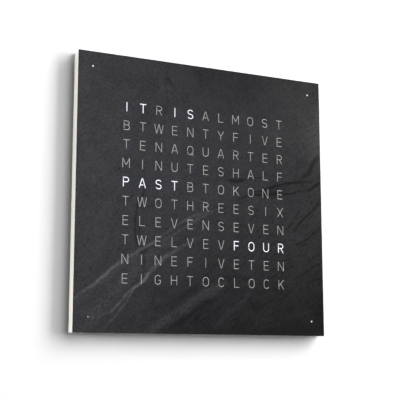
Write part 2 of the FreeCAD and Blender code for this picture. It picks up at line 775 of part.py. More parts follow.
def make_front_cover():
    carrier = new_body("cover_carrier")
    outline = new_sketch(carrier, "carrier_outline", "housing_depth")
    rectangle(outline, "0", "0", "side", "side")
    pad(carrier, outline, "carrier_thick")
    seat_radius = "magnet_radius + magnet_fit"
    holes(carrier, "disc_seats", "(housing_depth + disc_thick)", "disc_thick", MAGNET_SPOTS, seat_radius)
    slate = new_body("slate_face")
    front = "(housing_depth + carrier_thick)"
    outline = new_sketch(slate, "slate_outline", front)
    rectangle(outline, "0", "0", "side", "side")
    pad(slate, outline, "slate_thick")
    holes(slate, "minute_dots", f"({front} + slate_thick)", "slate_thick", MINUTE_SPOTS, "minute_hole")
    disc = rod("cover_disc", "0", "0", "0", "magnet_radius", "disc_thick", export=False)
    group("cover_discs", disc, at_depth(MAGNET_SPOTS, "housing_depth"))
    magnet = rod("housing_magnet", "0", "0", "0", "magnet_radius", "magnet_thick", export=False)
    group("housing_magnets", magnet, at_depth(MAGNET_SPOTS, "(housing_depth - magnet_thick)"))


# Letter lighting


def make_light_grid():
    """A moulded grid: a drafted chamber behind each letter, with a window for its LED in the floor."""
    body = new_body("light_grid")
    outline = new_sketch(body, "grid_outline", GRID_BACK)
    rectangle(outline, "0", "0", GRID_WIDTH, GRID_HEIGHT)
    pad(body, outline, GRID_TALL)
    flange = new_sketch(body, "grid_flange", GRID_BACK)
    rectangle(flange, "0", "0", f"({GRID_WIDTH} + 2 * flange_width)", f"({GRID_HEIGHT} + 2 * flange_width)")
    pad(body, flange, "flange_thick")
    mouth = new_sketch(body, "chamber_mouth", "housing_depth")
    first_spot = f"-{FIRST_COLUMN}", f"-{FIRST_ROW}"
    rectangle(mouth, *first_spot, f"({COLUMN_PITCH} - grid_wall)", f"({ROW_PITCH} - grid_wall)")
    chamber = pocket(body, mouth, f"({GRID_TALL} - grid_floor)")
    bind(chamber, TaperAngle="-grid_draft")
    window = new_sketch(body, "led_window", f"({GRID_BACK} + grid_floor)")
    rectangle(window, *first_spot, "led_window", "led_window")
    opening = pocket(body, window, "grid_floor")
    repeat_over_grid(body, mouth, [chamber, opening])


def repeat_over_grid(body, sketch, features):
    """Repeats features of the first column and lowest row over all columns and rows."""
    pattern = body.newObject("PartDesign::MultiTransform", f"{body.Name}_pattern")
    pattern.Originals = features
    across = body.newObject("PartDesign::LinearPattern", f"{body.Name}_columns")
    across.Direction = (sketch, ["H_Axis"])
    bind(across, Length=f"{COLUMN_PITCH} * (columns - 1)", Occurrences="columns")
    upwards = body.newObject("PartDesign::LinearPattern", f"{body.Name}_rows")
    upwards.Direction = (sketch, ["V_Axis"])
    bind(upwards, Length=f"{ROW_PITCH} * (rows - 1)", Occurrences="rows")
    pattern.Transformations = [across, upwards]
    body.Tip = pattern


def make_board(label, x, z, near, width, height, screw_spots, screw_hole):
    """A circuit board with rounded corners and its screw holes."""
    body = new_body(label)
    outline = new_sketch(body, f"{label}_outline", near)
    rounded_rectangle(outline, x, z, width, height, "bay_corner / 2")
    pad(body, outline, "board_thick")
    holes(body, f"{label}_holes", f"({near} + board_thick)", "board_thick", screw_spots, screw_hole)


def make_letter_lighting():
    size = BOARD_WIDTH, BOARD_HEIGHT
    make_board("led_board", "0", "0", BOARD_REAR, *size, LED_SCREW_SPOTS, "screw_radius + screw_clear")
    leds = new_body("letter_leds", separate_solids=True)
    footprint = new_sketch(leds, "led_footprint", GRID_BACK)
    rectangle(footprint, f"-{FIRST_COLUMN}", f"-{FIRST_ROW}", "led_width", "led_height")
    first = pad(leds, footprint, "led_tall")
    repeat_over_grid(leds, footprint, [first])
    sensor_column = f"((sensor_column - 1) * {COLUMN_PITCH} - {FIRST_COLUMN})"
    sensor_x = f"({sensor_column} + led_width / 2 + sensor_gap + sensor_width / 2)"
    box("light_sensor", sensor_x, FIRST_ROW, GRID_BACK, "sensor_width", "sensor_height", "sensor_tall")
    driver = box("driver_chip", "0", "0", "0", "driver_width", "driver_height", "driver_tall", export=False)
    driver_spots = [
        (f"({step} * driver_pitch_x)", f"({BOARD_REAR} - driver_tall)", f"{sign}(driver_pitch_z / 2)")
        for step in (-1, 0, 1)
        for sign in ("-", "")
    ]
    group("led_drivers", driver, driver_spots)


# Ribbon and cables

LED_PLUG_Z = f"(-{BOARD_HEIGHT} / 2 + ribbon_plug_inset + ribbon_plug_height / 2)"
CONTROL_PLUG_Z = f"({LED_PLUG_Z} - ribbon_plug_height - ribbon_run)"


def rounded_route(points, bend):
    """Straight runs between the points, joined by tangent arcs of one radius."""
    edges, start = [], points[0]
    for before, corner, after in zip(points, points[1:], points[2:]):
        back, ahead = (before - corner).normalize(), (after - corner).normalize()
        half_angle = back.getAngle(ahead) / 2
        reach = bend / math.tan(half_angle)
        middle = (back + ahead).normalize() * (bend / math.sin(half_angle) - bend)
        first, last = corner + back * reach, corner + ahead * reach
        edges += [Part.LineSegment(start, first).toShape(), Part.Arc(first, corner + middle, last).toShape()]
        start = last
    edges.append(Part.LineSegment(start, points[-1]).toShape())
    return Part.Wire(edges)


def cable_solid(spots):
    """A round cable in the groove's plane, through the spots given as x and z."""
    depth = value(CABLE_DEPTH)
    points = [Vector(value(x), -depth, value(z)) for x, z in spots]
    path = rounded_route(points, value("cable_bend"))
    section = Part.Wire(Part.makeCircle(value("cable_radius"), points[0], points[1] - points[0]))
    return path.makePipeShell([section], True, False)


def make_cable(label, routes):
    item = doc.addObject("Part::Feature", label)
    solids = [cable_solid(route) for route in routes]
    item.Shape = solids[0] if len(solids) == 1 else Part.makeCompound(solids)
    keep(item, label)


def lane(sign, number):
    """The height of a cable's lane in the groove above (+) or below (-) the LED board."""
    return f"({sign}{GROOVE_Z} + {number} * lane_pitch)"


def make_cables():
    """Cables leave their sockets upwards and turn into lanes that never cross."""
    minute_plug_end = f"({MINUTE} - minute_plug_height / 2)"
    corner_lane = f"({GROOVE_X} + lane_pitch)"
    inner_lane = f"({GROOVE_X} - lane_pitch)"

    def from_socket(x, number, *onward):
        return [(x, SOCKET_TOP), (x, lane("-", number)), *onward]

    left_low = from_socket(f"({LEFT_SOCKETS} - socket_pitch)", -1, (f"-{corner_lane}", lane("-", -1)))
    left_high = from_socket(LEFT_SOCKETS, 0, (f"-{corner_lane}", lane("-", 0)))
    right_low = from_socket(f"({RIGHT_SOCKETS} + socket_pitch)", -1, (corner_lane, lane("-", -1)))
    right_high = from_socket(f"({RIGHT_SOCKETS} - socket_pitch)", 1, (corner_lane, lane("-", 1)))
    make_cable(
        "minute_cables",
        [
            left_low + [(f"-{corner_lane}", f"-{minute_plug_end}")],
            left_high + [(f"-{corner_lane}", minute_plug_end)],
            right_low + [(corner_lane, f"-{minute_plug_end}")],
            right_high + [(corner_lane, minute_plug_end)],
        ],
    )
    radio = from_socket(f"({LEFT_SOCKETS} + socket_pitch)", 1, (f"-{inner_lane}", lane("-", 1)))
    make_cable("radio_cable", [radio + [(f"-{inner_lane}", lane("", 0)), (RADIO_PLUG_LEFT, lane("", 0))]])
    make_cable("key_cable", [from_socket(RIGHT_SOCKETS, 0, (KEY_PLUG_LEFT, lane("-", 0)))])


def make_ribbon():
    """A flat ribbon that steps from the control board's plug up to the LED board's plug."""
    box(
        "led_board_connector",
        CONTROL_X,
        LED_PLUG_Z,
        f"({BOARD_REAR} - ribbon_plug_tall)",
        "ribbon_plug_width",
        "ribbon_plug_height",
        "ribbon_plug_tall",
    )
    box(
        "control_connector",
        CONTROL_X,
        CONTROL_PLUG_Z,
        f"({CONTROL_REAR} - ribbon_plug_tall)",
        "ribbon_plug_width",
        "ribbon_plug_height",
        "ribbon_plug_tall",
    )
    front = value(f"{CONTROL_REAR} - ribbon_plug_tall / 2")
    rear = value(f"{BOARD_REAR} - ribbon_plug_tall / 2")
    start = value(f"{CONTROL_PLUG_Z} + ribbon_plug_height / 2")
    end = value(f"{LED_PLUG_Z} - ribbon_plug_height / 2")
    rise = (end - start) / 3
    x, width, thick = value(CONTROL_X), value("ribbon_width"), value("ribbon_thick")
    heights = [start, start + rise, end - rise, end]
    points = [Vector(x, -depth, z) for depth, z in zip((front, front, rear, rear), heights)]
    path = rounded_route(points, value("ribbon_bend"))
    corner = points[0] - Vector(width / 2, thick / 2, 0)
    steps = ((0, 0), (width, 0), (width, thick), (0, thick), (0, 0))
    section = Part.makePolygon([corner + Vector(x_step, y_step, 0) for x_step, y_step in steps])
    item = doc.addObject("Part::Feature", "ribbon_cable")
    item.Shape = path.makePipeShell([section], True, False)
    keep(item, "ribbon_cable")


# Minute lights


def make_minute_lights():
    near = "(well_floor - board_thick)"
    plate = rod("minute_disc", "0", "0", "0", "well_radius - well_clear", "board_thick", export=False)
    board, hole_radius = plate, "small_screw_radius + screw_clear"
    for end, z in (("upper", "minute_screw_offset"), ("lower", "-minute_screw_offset")):
        drill = rod(f"{end}_minute_drill", "0", z, "0", hole_radius, "board_thick", export=False)
        board = cut(f"{end}_minute_hole", board, drill, export=False)
    group("minute_boards", board, at_depth(MINUTE_SPOTS, near))
    led = box("minute_led", "0", "0", "0", "led_width", "led_height", "led_tall", export=False)
    group("minute_leds", led, at_depth(MINUTE_SPOTS, "well_floor"))
    guide_near = "(well_floor + led_tall + guide_gap)"
    guide_length = f"(housing_depth - {guide_near})"
    guide = rod("minute_guide", "0", "0", "0", "guide_radius", guide_length, export=False)
    group("minute_light_guides", guide, at_depth(MINUTE_SPOTS, guide_near))
    plug_size = "minute_plug_width", "minute_plug_height", "minute_plug_tall"
    plug = box("minute_plug", "0", "0", "0", *plug_size, export=False)
    plug_x = f"({GROOVE_X} + lane_pitch + cable_clear / 2 + (minute_plug_width / 2 - cable_radius))"
    plug_near = f"({near} - minute_plug_tall)"
    group("minute_plugs", plug, at_depth(four_corners(plug_x, MINUTE), plug_near))


# Control board


def on_control_board(label, x, z, width, height, tall):
    return box(label, x, z, f"({CONTROL_REAR} - {tall})", width, height, tall)


def make_control_board():
    make_board(
        "control_board",
        CONTROL_BOARD_X,
        f"-{BAY_MIDDLE}",
        CONTROL_REAR,
        CONTROL_BOARD_WIDTH,
        CONTROL_BOARD_HEIGHT,
        CONTROL_SCREW_SPOTS,
        "small_screw_radius + screw_clear",
    )
    processor = "processor_side", "processor_side", "processor_tall"
    on_control_board("microcontroller", CONTROL_X, RECESS_Z, *processor)
    clock_x = f"({CONTROL_X} - (processor_side + clock_chip_width) / 2 - part_gap)"
    clock_z = f"({RECESS_Z} - processor_side / 2)"
    clock_chip = "clock_chip_width", "clock_chip_height", "clock_chip_tall"
    on_control_board("clock_chip", clock_x, clock_z, *clock_chip)
    side_rod(
        "clock_crystal",
        f"({clock_x} - crystal_length / 2)",
        f"({clock_z} + clock_chip_height / 2 + crystal_radius + part_gap)",
        f"({CONTROL_REAR} - crystal_radius)",
        "crystal_radius",
        "crystal_length",
    )
    regulator_x = f"({CONTROL_X} + (processor_side + regulator_width) / 2 + part_gap)"
    on_control_board(
        "voltage_regulator", regulator_x, RECESS_Z, "regulator_width", "regulator_height", "regulator_tall"
    )
    rod(
        "power_capacitor",
        f"({regulator_x} + regulator_width / 2 + part_gap + capacitor_radius)",
        RECESS_Z,
        f"({CONTROL_REAR} - capacitor_tall)",
        "capacitor_radius",
        "capacitor_tall",
    )
    make_backup_cell()
    socket_tall = f"({CONTROL_REAR} - {SOCKET_NEAR})"
    socket = box("cable_socket", "0", "0", "0", "socket_width", "socket_height", socket_tall, export=False)
    socket_spots = [
        (f"({x} + {step} * socket_pitch)", SOCKET_NEAR, f"({SOCKET_TOP} - socket_height / 2)")
        for x in (LEFT_SOCKETS, RIGHT_SOCKETS)
        for step in (-1, 0, 1)
    ]
    group("cable_plugs", socket, socket_spots)
    make_dc_jack()


def make_backup_cell():
    """A coin cell in a square holder that is open towards the wall."""
    x = LEFT_SOCKETS
    z = f"({SOCKET_TOP} - socket_height - holder_side / 2 - panel_gap)"
    near = f"({CONTROL_REAR} - holder_tall)"
    block = box("holder_block", x, z, near, "holder_side", "holder_side", "holder_tall", export=False)
    seat_size = "cell_radius + cell_clear", "holder_tall - holder_base"
    seat = rod("holder_seat", x, z, near, *seat_size, export=False)
    cut("cell_holder", block, seat)
    rod("backup_cell", x, z, f"({CONTROL_REAR} - holder_base - cell_thick)", "cell_radius", "cell_thick")


def make_dc_jack():
    """A jack on the end of the control board, with its mouth flush with the plug recess."""
    left, size = "(-jack_length / 2)", ("jack_length", "jack_height", "jack_tall")
    block = box("jack_block", left, RECESS_Z, JACK_NEAR, *size, export=False)
    centre = f"({JACK_NEAR} + jack_tall / 2)"
    bottom = "-jack_bore_length"
    bore = side_rod("jack_bore", bottom, RECESS_Z, centre, "jack_bore", "jack_bore_length", export=False)
    cut("dc_jack", block, bore)
    side_rod("dc_jack_pin", bottom, RECESS_Z, centre, "jack_pin", "(jack_bore_length - jack_pin_back)")


# Radio receiver

RADIO_PLUG_LEFT = "(-radio_board_width / 2 + small_screw_inset)"


def make_radio():
    make_board(
        "radio_board",
        "0",
        RADIO_BOARD_Z,
        CONTROL_REAR,
        "radio_board_width",
        "radio_board_height",
        RADIO_SCREW_SPOTS,
        "small_screw_radius + screw_clear",
    )
    box(
        "radio_chip",
        "(radio_board_width / 8)",
        RADIO_BOARD_Z,
        f"({CONTROL_REAR} - clock_chip_tall)",
        "clock_chip_width",
        "clock_chip_height",
        "clock_chip_tall",
    )
    box(
        "radio_plug",
        f"({RADIO_PLUG_LEFT} + socket_height / 2)",
        lane("", 0),
        SOCKET_NEAR,
        "socket_height",
        "socket_width",
        f"({CONTROL_REAR} - {SOCKET_NEAR})",
    )
    side_rod("ferrite_rod", "(-rod_length / 2)", ROD_Z, ROD_DEPTH, "rod_radius", "rod_length")
    coil_start, coil_bore = ("(-coil_length / 2)", ROD_Z, ROD_DEPTH), "rod_radius + rod_fit"
    outside = side_rod("coil_outside", *coil_start, "coil_radius", "coil_length", export=False)
    inside = side_rod("coil_inside", *coil_start, coil_bore, "coil_length", export=False)
    cut("antenna_coil", outside, inside)
    clip_height = "(2 * (rod_radius + clip_wall))"
    clip_tall = f"(bay_floor - {ROD_DEPTH})"
    block = box("clip_block", "0", "0", ROD_DEPTH, "clip_width", clip_height, clip_tall, export=False)
    clip_start = "(-clip_width / 2)", "0", ROD_DEPTH
    seat = side_rod("clip_seat", *clip_start, coil_bore, "clip_width", export=False)
    clip = cut("antenna_clip", block, seat, export=False)
    group("antenna_clips", clip, [(f"{sign}(clip_spacing / 2)", "0", ROD_Z) for sign in ("-", "")])


# Keys

KEY_PLUG_LEFT = f"({GROOVE_X} + groove_width - lane_pitch / 2)"


def make_keys():
    make_board(
        "key_board",
        KEY_BOARD_X,
        BUTTON_Z,
        KEY_BOARD_REAR,
        "key_board_width",
        "key_board_height",
        KEY_SCREW_SPOTS,
        "small_screw_radius + screw_clear",
    )
    switch_block = box(
        "switch_block",
        f"({SWITCH_FRONT} - switch_thick / 2)",
        "0",
        f"({BUTTON_DEPTH} - switch_side / 2)",
        "switch_thick",
        "switch_side",
        "switch_side",
        export=False,
    )
    bore = side_rod(
        "switch_bore",
        f"({SWITCH_FRONT} - plunger_bore)",
        "0",
        BUTTON_DEPTH,
        "plunger_radius + plunger_fit",
        "plunger_bore",
        export=False,
    )
    switch = cut("key_switch", switch_block, bore, export=False)
    group("key_switches", switch, [("0", "0", z) for z in KEY_SPOTS.values()])
    box(
        "key_plug",
        f"({KEY_PLUG_LEFT} + socket_height / 2)",
        lane("-", 0),
        SOCKET_NEAR,
        "socket_height",
        "socket_width",
        f"({KEY_BOARD_REAR} - {SOCKET_NEAR})",
    )
    for name, z in KEY_SPOTS.items():
        make_button(name, z)


def make_button(name, z):
    """A turned cap with a collar that keeps it in the housing, and the switch's plunger behind it."""
    body = new_body(f"button_{name}")
    profile = new_sketch(body, f"button_profile_{name}", plane="XY_Plane")
    collar_outside, tip = f"({COLLAR_INSIDE} + collar_thick)", f"({HALF} + button_proud)"
    polygon(
        profile,
        [
            (COLLAR_INSIDE, "0"),
            (tip, "0"),
            (tip, "button_radius"),
            (collar_outside, "button_radius"),
            (collar_outside, "collar_radius"),
            (COLLAR_INSIDE, "collar_radius"),
        ],
    )
    turned = body.newObject("PartDesign::Revolution", f"button_turned_{name}")
    turned.Profile = profile
    turned.ReferenceAxis = (profile, ["H_Axis"])
    turned.Angle = 360
    place(body, "0", BUTTON_DEPTH, z)
    doc.recompute()
    rim = [
        f"Edge{number}"
        for number, edge in enumerate(turned.Shape.Edges, start=1)
        if edge.BoundBox.XLength < 1e-6 and abs(edge.BoundBox.XMin - value(tip)) < 1e-6
    ]
    rounding = body.newObject("PartDesign::Fillet", f"button_rounding_{name}")
    rounding.Base = (turned, rim)
    bind(rounding, Radius="button_round")
    side_rod(
        f"button_{name}_plunger",
        f"({SWITCH_FRONT} - plunger_inside)",
        z,
        BUTTON_DEPTH,
        "plunger_radius",
        "(plunger_inside + button_travel + switch_gap)",
    )


# Checks and export


def check_document():
    """Stops on a failed object, an empty or invalid shape, or a feature that changed nothing."""
    for item in doc.Objects:
        if "Invalid" in item.State or "Error" in item.State:
            raise RuntimeError(f"{item.Name} failed: {item.State}")
        if item.TypeId in ("PartDesign::Pocket", "PartDesign::Hole") and item.BaseFeature:
            if item.Shape.Volume > item.BaseFeature.Shape.Volume - 1e-6:
                raise RuntimeError(f"{item.Name} takes nothing away")
    for item in nodes:
        if item.Shape.isNull() or not item.Shape.isValid() or not item.Shape.Solids:
            raise RuntimeError(f"{item.Label} has no valid shape")


def export_nodes():
    os.makedirs("parts", exist_ok=True)
    for item in nodes:
        item.Shape.exportStep(f"parts/{item.Label}.step")
        print(f"{item.Label}: {len(item.Shape.Solids)} solid(s), {item.Shape.Volume:.1f} mm3")


make_housing()
make_back_cover()
for hanger_side, hanger_middle in HANGER_SIDES.items():
    make_hanger_plate(hanger_side, hanger_middle)
make_screws()
make_front_cover()
make_light_grid()
make_letter_lighting()
make_minute_lights()
make_control_board()
make_radio()
make_keys()
make_ribbon()
make_cables()
doc.recompute()
check_document()
export_nodes()
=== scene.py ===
import math
from functools import cached_property

import bmesh
import bpy
import numpy as np
from mathutils import Matrix, Vector, geometry, kdtree, noise


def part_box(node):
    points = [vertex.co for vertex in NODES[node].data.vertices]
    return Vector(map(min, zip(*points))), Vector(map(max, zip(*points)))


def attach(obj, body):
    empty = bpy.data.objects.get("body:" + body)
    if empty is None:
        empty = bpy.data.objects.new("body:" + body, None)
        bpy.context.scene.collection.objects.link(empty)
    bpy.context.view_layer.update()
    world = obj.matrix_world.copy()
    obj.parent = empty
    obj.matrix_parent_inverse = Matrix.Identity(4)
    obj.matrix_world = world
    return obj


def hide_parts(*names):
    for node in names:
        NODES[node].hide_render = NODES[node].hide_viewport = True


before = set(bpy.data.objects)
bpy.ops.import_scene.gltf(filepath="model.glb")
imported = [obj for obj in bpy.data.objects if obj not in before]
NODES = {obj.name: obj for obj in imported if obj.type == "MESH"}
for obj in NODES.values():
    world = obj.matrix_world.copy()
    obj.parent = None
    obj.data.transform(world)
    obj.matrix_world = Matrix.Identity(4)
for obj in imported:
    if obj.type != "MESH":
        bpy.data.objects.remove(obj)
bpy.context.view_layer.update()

# Pieces are worked out in millimetres, in the frame's axes: X to the right, Y into the wall, Z up.
MM = 0.001


def solids(node):
    """The middle and size of each separate solid of a CAD node, row by row from the lowest."""
    mesh = NODES[node].data
    points = np.array([vertex.co[:] for vertex in mesh.vertices]) / MM
    numbers = {}
    spots = np.array([numbers.setdefault(tuple(spot), len(numbers)) for spot in np.round(points, 3).tolist()])
    edges = spots[np.array([edge.vertices[:] for edge in mesh.edges])]
    group = np.arange(len(numbers))
    while (group[edges[:, 0]] != group[edges[:, 1]]).any():
        lowest = group[edges].min(1)
        for end in (0, 1):
            np.minimum.at(group, edges[:, end], lowest)
    members = [points[group[spots] == number] for number in np.unique(group)]
    found = [((solid.min(0) + solid.max(0)) / 2, solid.max(0) - solid.min(0)) for solid in members]
    return sorted(found, key=lambda solid: (round(solid[0][2], 1), round(solid[0][0], 1)))


# Building meshes. A shape is (points, faces), and a piece is made of shapes, each with its material.
# piece() welds the points that meet and turns all the faces outwards.

SAME_POINT = 1e-5  # points of an outline that lie nearer than this are one
WIRE_SIDES = 8


def joined(*shapes):
    points, faces = [], []
    for shape_points, shape_faces in shapes:
        start = len(points)
        points.extend(tuple(point) for point in shape_points)
        faces.extend([start + index for index in face] for face in shape_faces)
    return points, faces


def moved(shape, matrix):
    points, faces = shape
    return [tuple(matrix @ Vector(point)) for point in points], faces


def shifted(shape, x=0, y=0, z=0):
    return moved(shape, Matrix.Translation((x, y, z)))


def block(width, depth, height, bevel):
    """A box that stands on z = 0, with chamfered edges."""
    mesh = bmesh.new()
    bmesh.ops.create_cube(mesh, size=1, matrix=Matrix.Diagonal((width, depth, height, 1)))
    bmesh.ops.bevel(mesh, geom=mesh.edges[:], offset=bevel, segments=1, affect="EDGES", profile=0.5)
    shape = [vertex.co[:] for vertex in mesh.verts], [[v.index for v in face.verts] for face in mesh.faces]
    mesh.free()
    return shifted(shape, z=height / 2)


def circle(radius, count, x=0.0, y=0.0):
    turn = 2 * math.pi / count
    return [(x + radius * math.cos(turn * step), y + radius * math.sin(turn * step)) for step in range(count)]


def rectangle(width, depth, cut=0.0):
    """The outline of a rectangle whose corners are cut off."""
    a, b = width / 2, depth / 2
    if not cut:
        return [(-a, -b), (a, -b), (a, b), (-a, b)]
    half = [(-a + cut, -b), (a - cut, -b), (a, -b + cut), (a, b - cut)]
    return half + [(-x, -y) for x, y in half]


def cross(reach, half):
    """The outline of a cross recess."""
    quarter = [(reach, -half), (reach, half), (half, half)]
    return [(x * c - y * s, x * s + y * c) for c, s in ((1, 0), (0, 1), (-1, 0), (0, -1)) for x, y in quarter]


def linked(rings, capped=False):
    """The walls through closed rings of points, and the ends too where it is capped."""
    count = len(rings[0])
    points = [tuple(point) for ring in rings for point in ring]
    faces = []
    for start in range(0, len(points) - count, count):
        for step in range(count):
            after = (step + 1) % count
            faces.append([start + step, start + after, start + count + after, start + count + step])
    if capped:
        faces += [list(range(count)), list(range(len(points) - count, len(points)))]
    return points, faces


def walled(layers, capped=False):
    """The walls through (outline, z) layers from the bottom up. The outlines have equally many points."""
    return linked([[(x, y, z) for x, y in outline] for outline, z in layers], capped)


def stacked(layers):
    return walled(layers, capped=True)


def turned(profile, segments):
    """A shape turned about Z from (radius, z) points that run from one end on the axis to the other."""
    return walled([(circle(radius, segments), z) for radius, z in profile])


def lid(outline, z):
    return [(x, y, z) for x, y in outline], [list(range(len(outline)))]


def triangles(outlines, loose=()):
    """Splits the plane along the outlines. Gives points, triangles, and which outlines hold each triangle."""
    points, faces = [], []
    for outline in outlines:
        faces.append(list(range(len(points), len(points) + len(outline))))
        points.extend(Vector(point) for point in outline)
    points.extend(Vector(point) for point in loose)
    made = geometry.delaunay_2d_cdt(points, [], faces, 0, SAME_POINT)
    return [point[:] for point in made[0]], made[2], [set(held) for held in made[5]]


def sunk(outline, hole, z, depth, floor=None):
    """A face at z with a closed hole in it, which may narrow towards its floor."""
    floor = floor or hole
    points, faces, held = triangles([outline, hole])
    rim = [(x, y, z) for x, y in points], [face for face, within in zip(faces, held) if within == {0}]
    return joined(rim, walled([(floor, z - depth), (hole, z)]), lid(floor, z - depth))


def swept(path, radius):
    """A round wire along a path."""
    points = [Vector(point) for point in path]
    rings = []
    side = Vector((0.13, 0.31, 0.94))
    for index, point in enumerate(points):
        run = (points[min(index + 1, len(points) - 1)] - points[max(index - 1, 0)]).normalized()
        side = (side - run * side.dot(run)).normalized()
        other = run.cross(side)
        rings.append([point + side * (x * radius) + other * (y * radius) for x, y in circle(1.0, WIRE_SIDES)])
    return linked(rings, capped=True)


def strip(profile, width):
    """A bar along Y with the given (x, z) profile."""
    return linked([[(x, y, z) for x, z in profile] for y in (-width / 2, width / 2)], capped=True)


# The ways a shape's own Z can point: out of the wall side, out of the front, or out of the right edge
REAR = Matrix(((1, 0, 0, 0), (0, 0, 1, 0), (0, -1, 0, 0), (0, 0, 0, 1)))
FRONT = Matrix(((1, 0, 0, 0), (0, 0, -1, 0), (0, 1, 0, 0), (0, 0, 0, 1)))
RIGHT = Matrix(((0, 0, 1, 0), (0, 1, 0, 0), (-1, 0, 0, 0), (0, 0, 0, 1)))
SHARP_ANGLE = math.radians(35)
WELD = 1e-7  # in metres


def at(spot, facing):
    return Matrix.Translation(spot) @ facing


def turned_about(angle):
    return Matrix.Rotation(math.radians(angle), 4, "Z")


def placed(shapes, matrix):
    return [(moved(shape, matrix), material) for shape, material in shapes]


def added(name, data):
    """A new object in the scene."""
    made = bpy.data.objects.new(name, data)
    bpy.context.scene.collection.objects.link(made)
    return made


def piece(name, body, parts, replaces=()):
    """One object from (shape, material) pairs, riding on a CAD body and standing for some of its nodes."""
    points, faces = joined(*(shape for shape, _ in parts))
    materials = list(dict.fromkeys(material for _, material in parts))
    mesh = bpy.data.meshes.new(name)
    mesh.from_pydata((np.array(points) * MM).tolist(), [], faces)
    for material in materials:
        mesh.materials.append(material)
    indices = [materials.index(material) for shape, material in parts for _ in shape[1]]
    mesh.polygons.foreach_set("material_index", indices)
    tidy = bmesh.new()
    tidy.from_mesh(mesh)
    bmesh.ops.remove_doubles(tidy, verts=tidy.verts, dist=WELD)
    bmesh.ops.recalc_face_normals(tidy, faces=tidy.faces)
    tidy.to_mesh(mesh)
    tidy.free()
    mesh.shade_smooth()
    mesh.set_sharp_from_angle(angle=SHARP_ANGLE)
    made = added(name, mesh)
    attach(made, body)
    if replaces:
        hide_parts(*replaces)
    return made


# Materials


class Look:
    """The nodes of a material or world. Patterns lie in the object's own metres, and move with the piece."""

    def __init__(self, name, owner=None):
        self.owner = owner or bpy.data.materials.new(name)
        self.owner.use_nodes = True
        self.tree = self.owner.node_tree

    @cached_property
    def shader(self):
        return self.tree.nodes["Principled BSDF"]

    @cached_property
    def place(self):
        return self.node("ShaderNodeTexCoord").outputs["Object"]

    def node(self, kind, values=None, **settings):
        made = self.tree.nodes.new(kind)
        for key, setting in settings.items():
            setattr(made, key, setting)
        self.give(made, values or {})
        return made

    def give(self, node, values):
        for key, value in values.items():
            if isinstance(value, bpy.types.NodeSocket):
                self.tree.links.new(value, node.inputs[key])
            else:
                node.inputs[key].default_value = value

    def noise(self, size, detail, roughness=0.5, place=None):
        """Noise with features of about the given size in millimetres."""
        values = {"Vector": place or self.place, "Scale": 1 / (size * MM)}
        values |= {"Detail": detail, "Roughness": roughness}
        return self.node("ShaderNodeTexNoise", values).outputs["Fac"]

    def stretched(self, scale, turn=(0, 0, 0)):
        """The place, turned and then scaled along each axis."""
        place = self.node("ShaderNodeMapping", {"Vector": self.place, "Rotation": turn}).outputs["Vector"]
        return self.node("ShaderNodeMapping", {"Vector": place, "Scale": scale}).outputs["Vector"]

    def maths(self, operation, first, second=0.0):
        return self.node("ShaderNodeMath", {0: first, 1: second}, operation=operation).outputs[0]

    def add(self, *values):
        total = values[0]
        for value in values[1:]:
            total = self.maths("ADD", total, value)
        return total

    def times(self, first, second):
        return self.maths("MULTIPLY", first, second)

    def highest(self, *values):
        top = values[0]
        for value in values[1:]:
            top = self.maths("MAXIMUM", top, value)
        return top

    def remap(self, value, low, high, to_low=0.0, to_high=1.0):
        values = {"Value": value, "From Min": low, "From Max": high, "To Min": to_low, "To Max": to_high}
        return self.node("ShaderNodeMapRange", values).outputs["Result"]

    def spread(self, fac, low=0.0, high=1.0):
        """Noise, most of which lies between 0.3 and 0.7, spread over a range."""
        return self.remap(fac, 0.3, 0.7, low, high)

    def mix(self, factor, first, second):
        values = {0: factor, 6: first, 7: second}
        return self.node("ShaderNodeMix", values, data_type="RGBA", blend_type="MIX").outputs[2]

    def shades(self, fac, colour, low, high):
        """The colour, times low to high as the noise goes up."""
        return self.mix(self.spread(fac), tint(colour, low), tint(colour, high))

    def axes(self):
        return self.node("ShaderNodeSeparateXYZ", {0: self.place}).outputs

    def outer(self, margin):
        """1 on the square's outer edges, where x or z comes within a margin of them, and 0 elsewhere."""
        x, _, z = self.axes()
        side = self.highest(self.maths("ABSOLUTE", x), self.maths("ABSOLUTE", z))
        return self.maths("GREATER_THAN", side, (HALF_SIDE - margin) * MM)

    def attribute(self, name):
        return self.node("ShaderNodeAttribute", attribute_name=name).outputs["Fac"]

    def seen(self):
        """1 for camera, glossy and transmission rays and 0 for the others."""
        rays = self.node("ShaderNodeLightPath").outputs
        return self.highest(rays["Is Camera Ray"], rays["Is Glossy Ray"], rays["Is Transmission Ray"])

    def bump(self, height, strength, depth, normal=None):
        values = {"Height": height, "Strength": strength, "Distance": depth * MM}
        if normal:
            values["Normal"] = normal
        return self.node("ShaderNodeBump", values).outputs["Normal"]

    def finish(self, colour, roughness, normal, **sockets):
        values = {"Base Color": colour, "Roughness": roughness, "Normal": normal}
        values |= {key.replace("_", " "): value for key, value in sockets.items()}
        self.give(self.shader, values)
        return self.owner


def tint(colour, factor):
    return (*(min(part * factor, 1.0) for part in colour), 1.0)


def mottled(name, colour, roughness, grain, spread, relief, strength=0.3, **sockets):
    """A material of one colour with slow and fine variation, uneven gloss and a fine grain."""
    look = Look(name)
    slow = look.noise(grain * 14, 2)
    fine = look.noise(grain, 5, 0.6)
    shade = look.add(look.times(slow, 0.6), look.times(fine, 0.4))
    paint = look.mix(look.remap(shade, 0.35, 0.65), tint(colour, 1 - spread), tint(colour, 1 + spread))
    gloss = look.spread(fine, roughness - 0.06, roughness + 0.06)
    return look.finish(paint, gloss, look.bump(fine, strength, relief), **sockets)


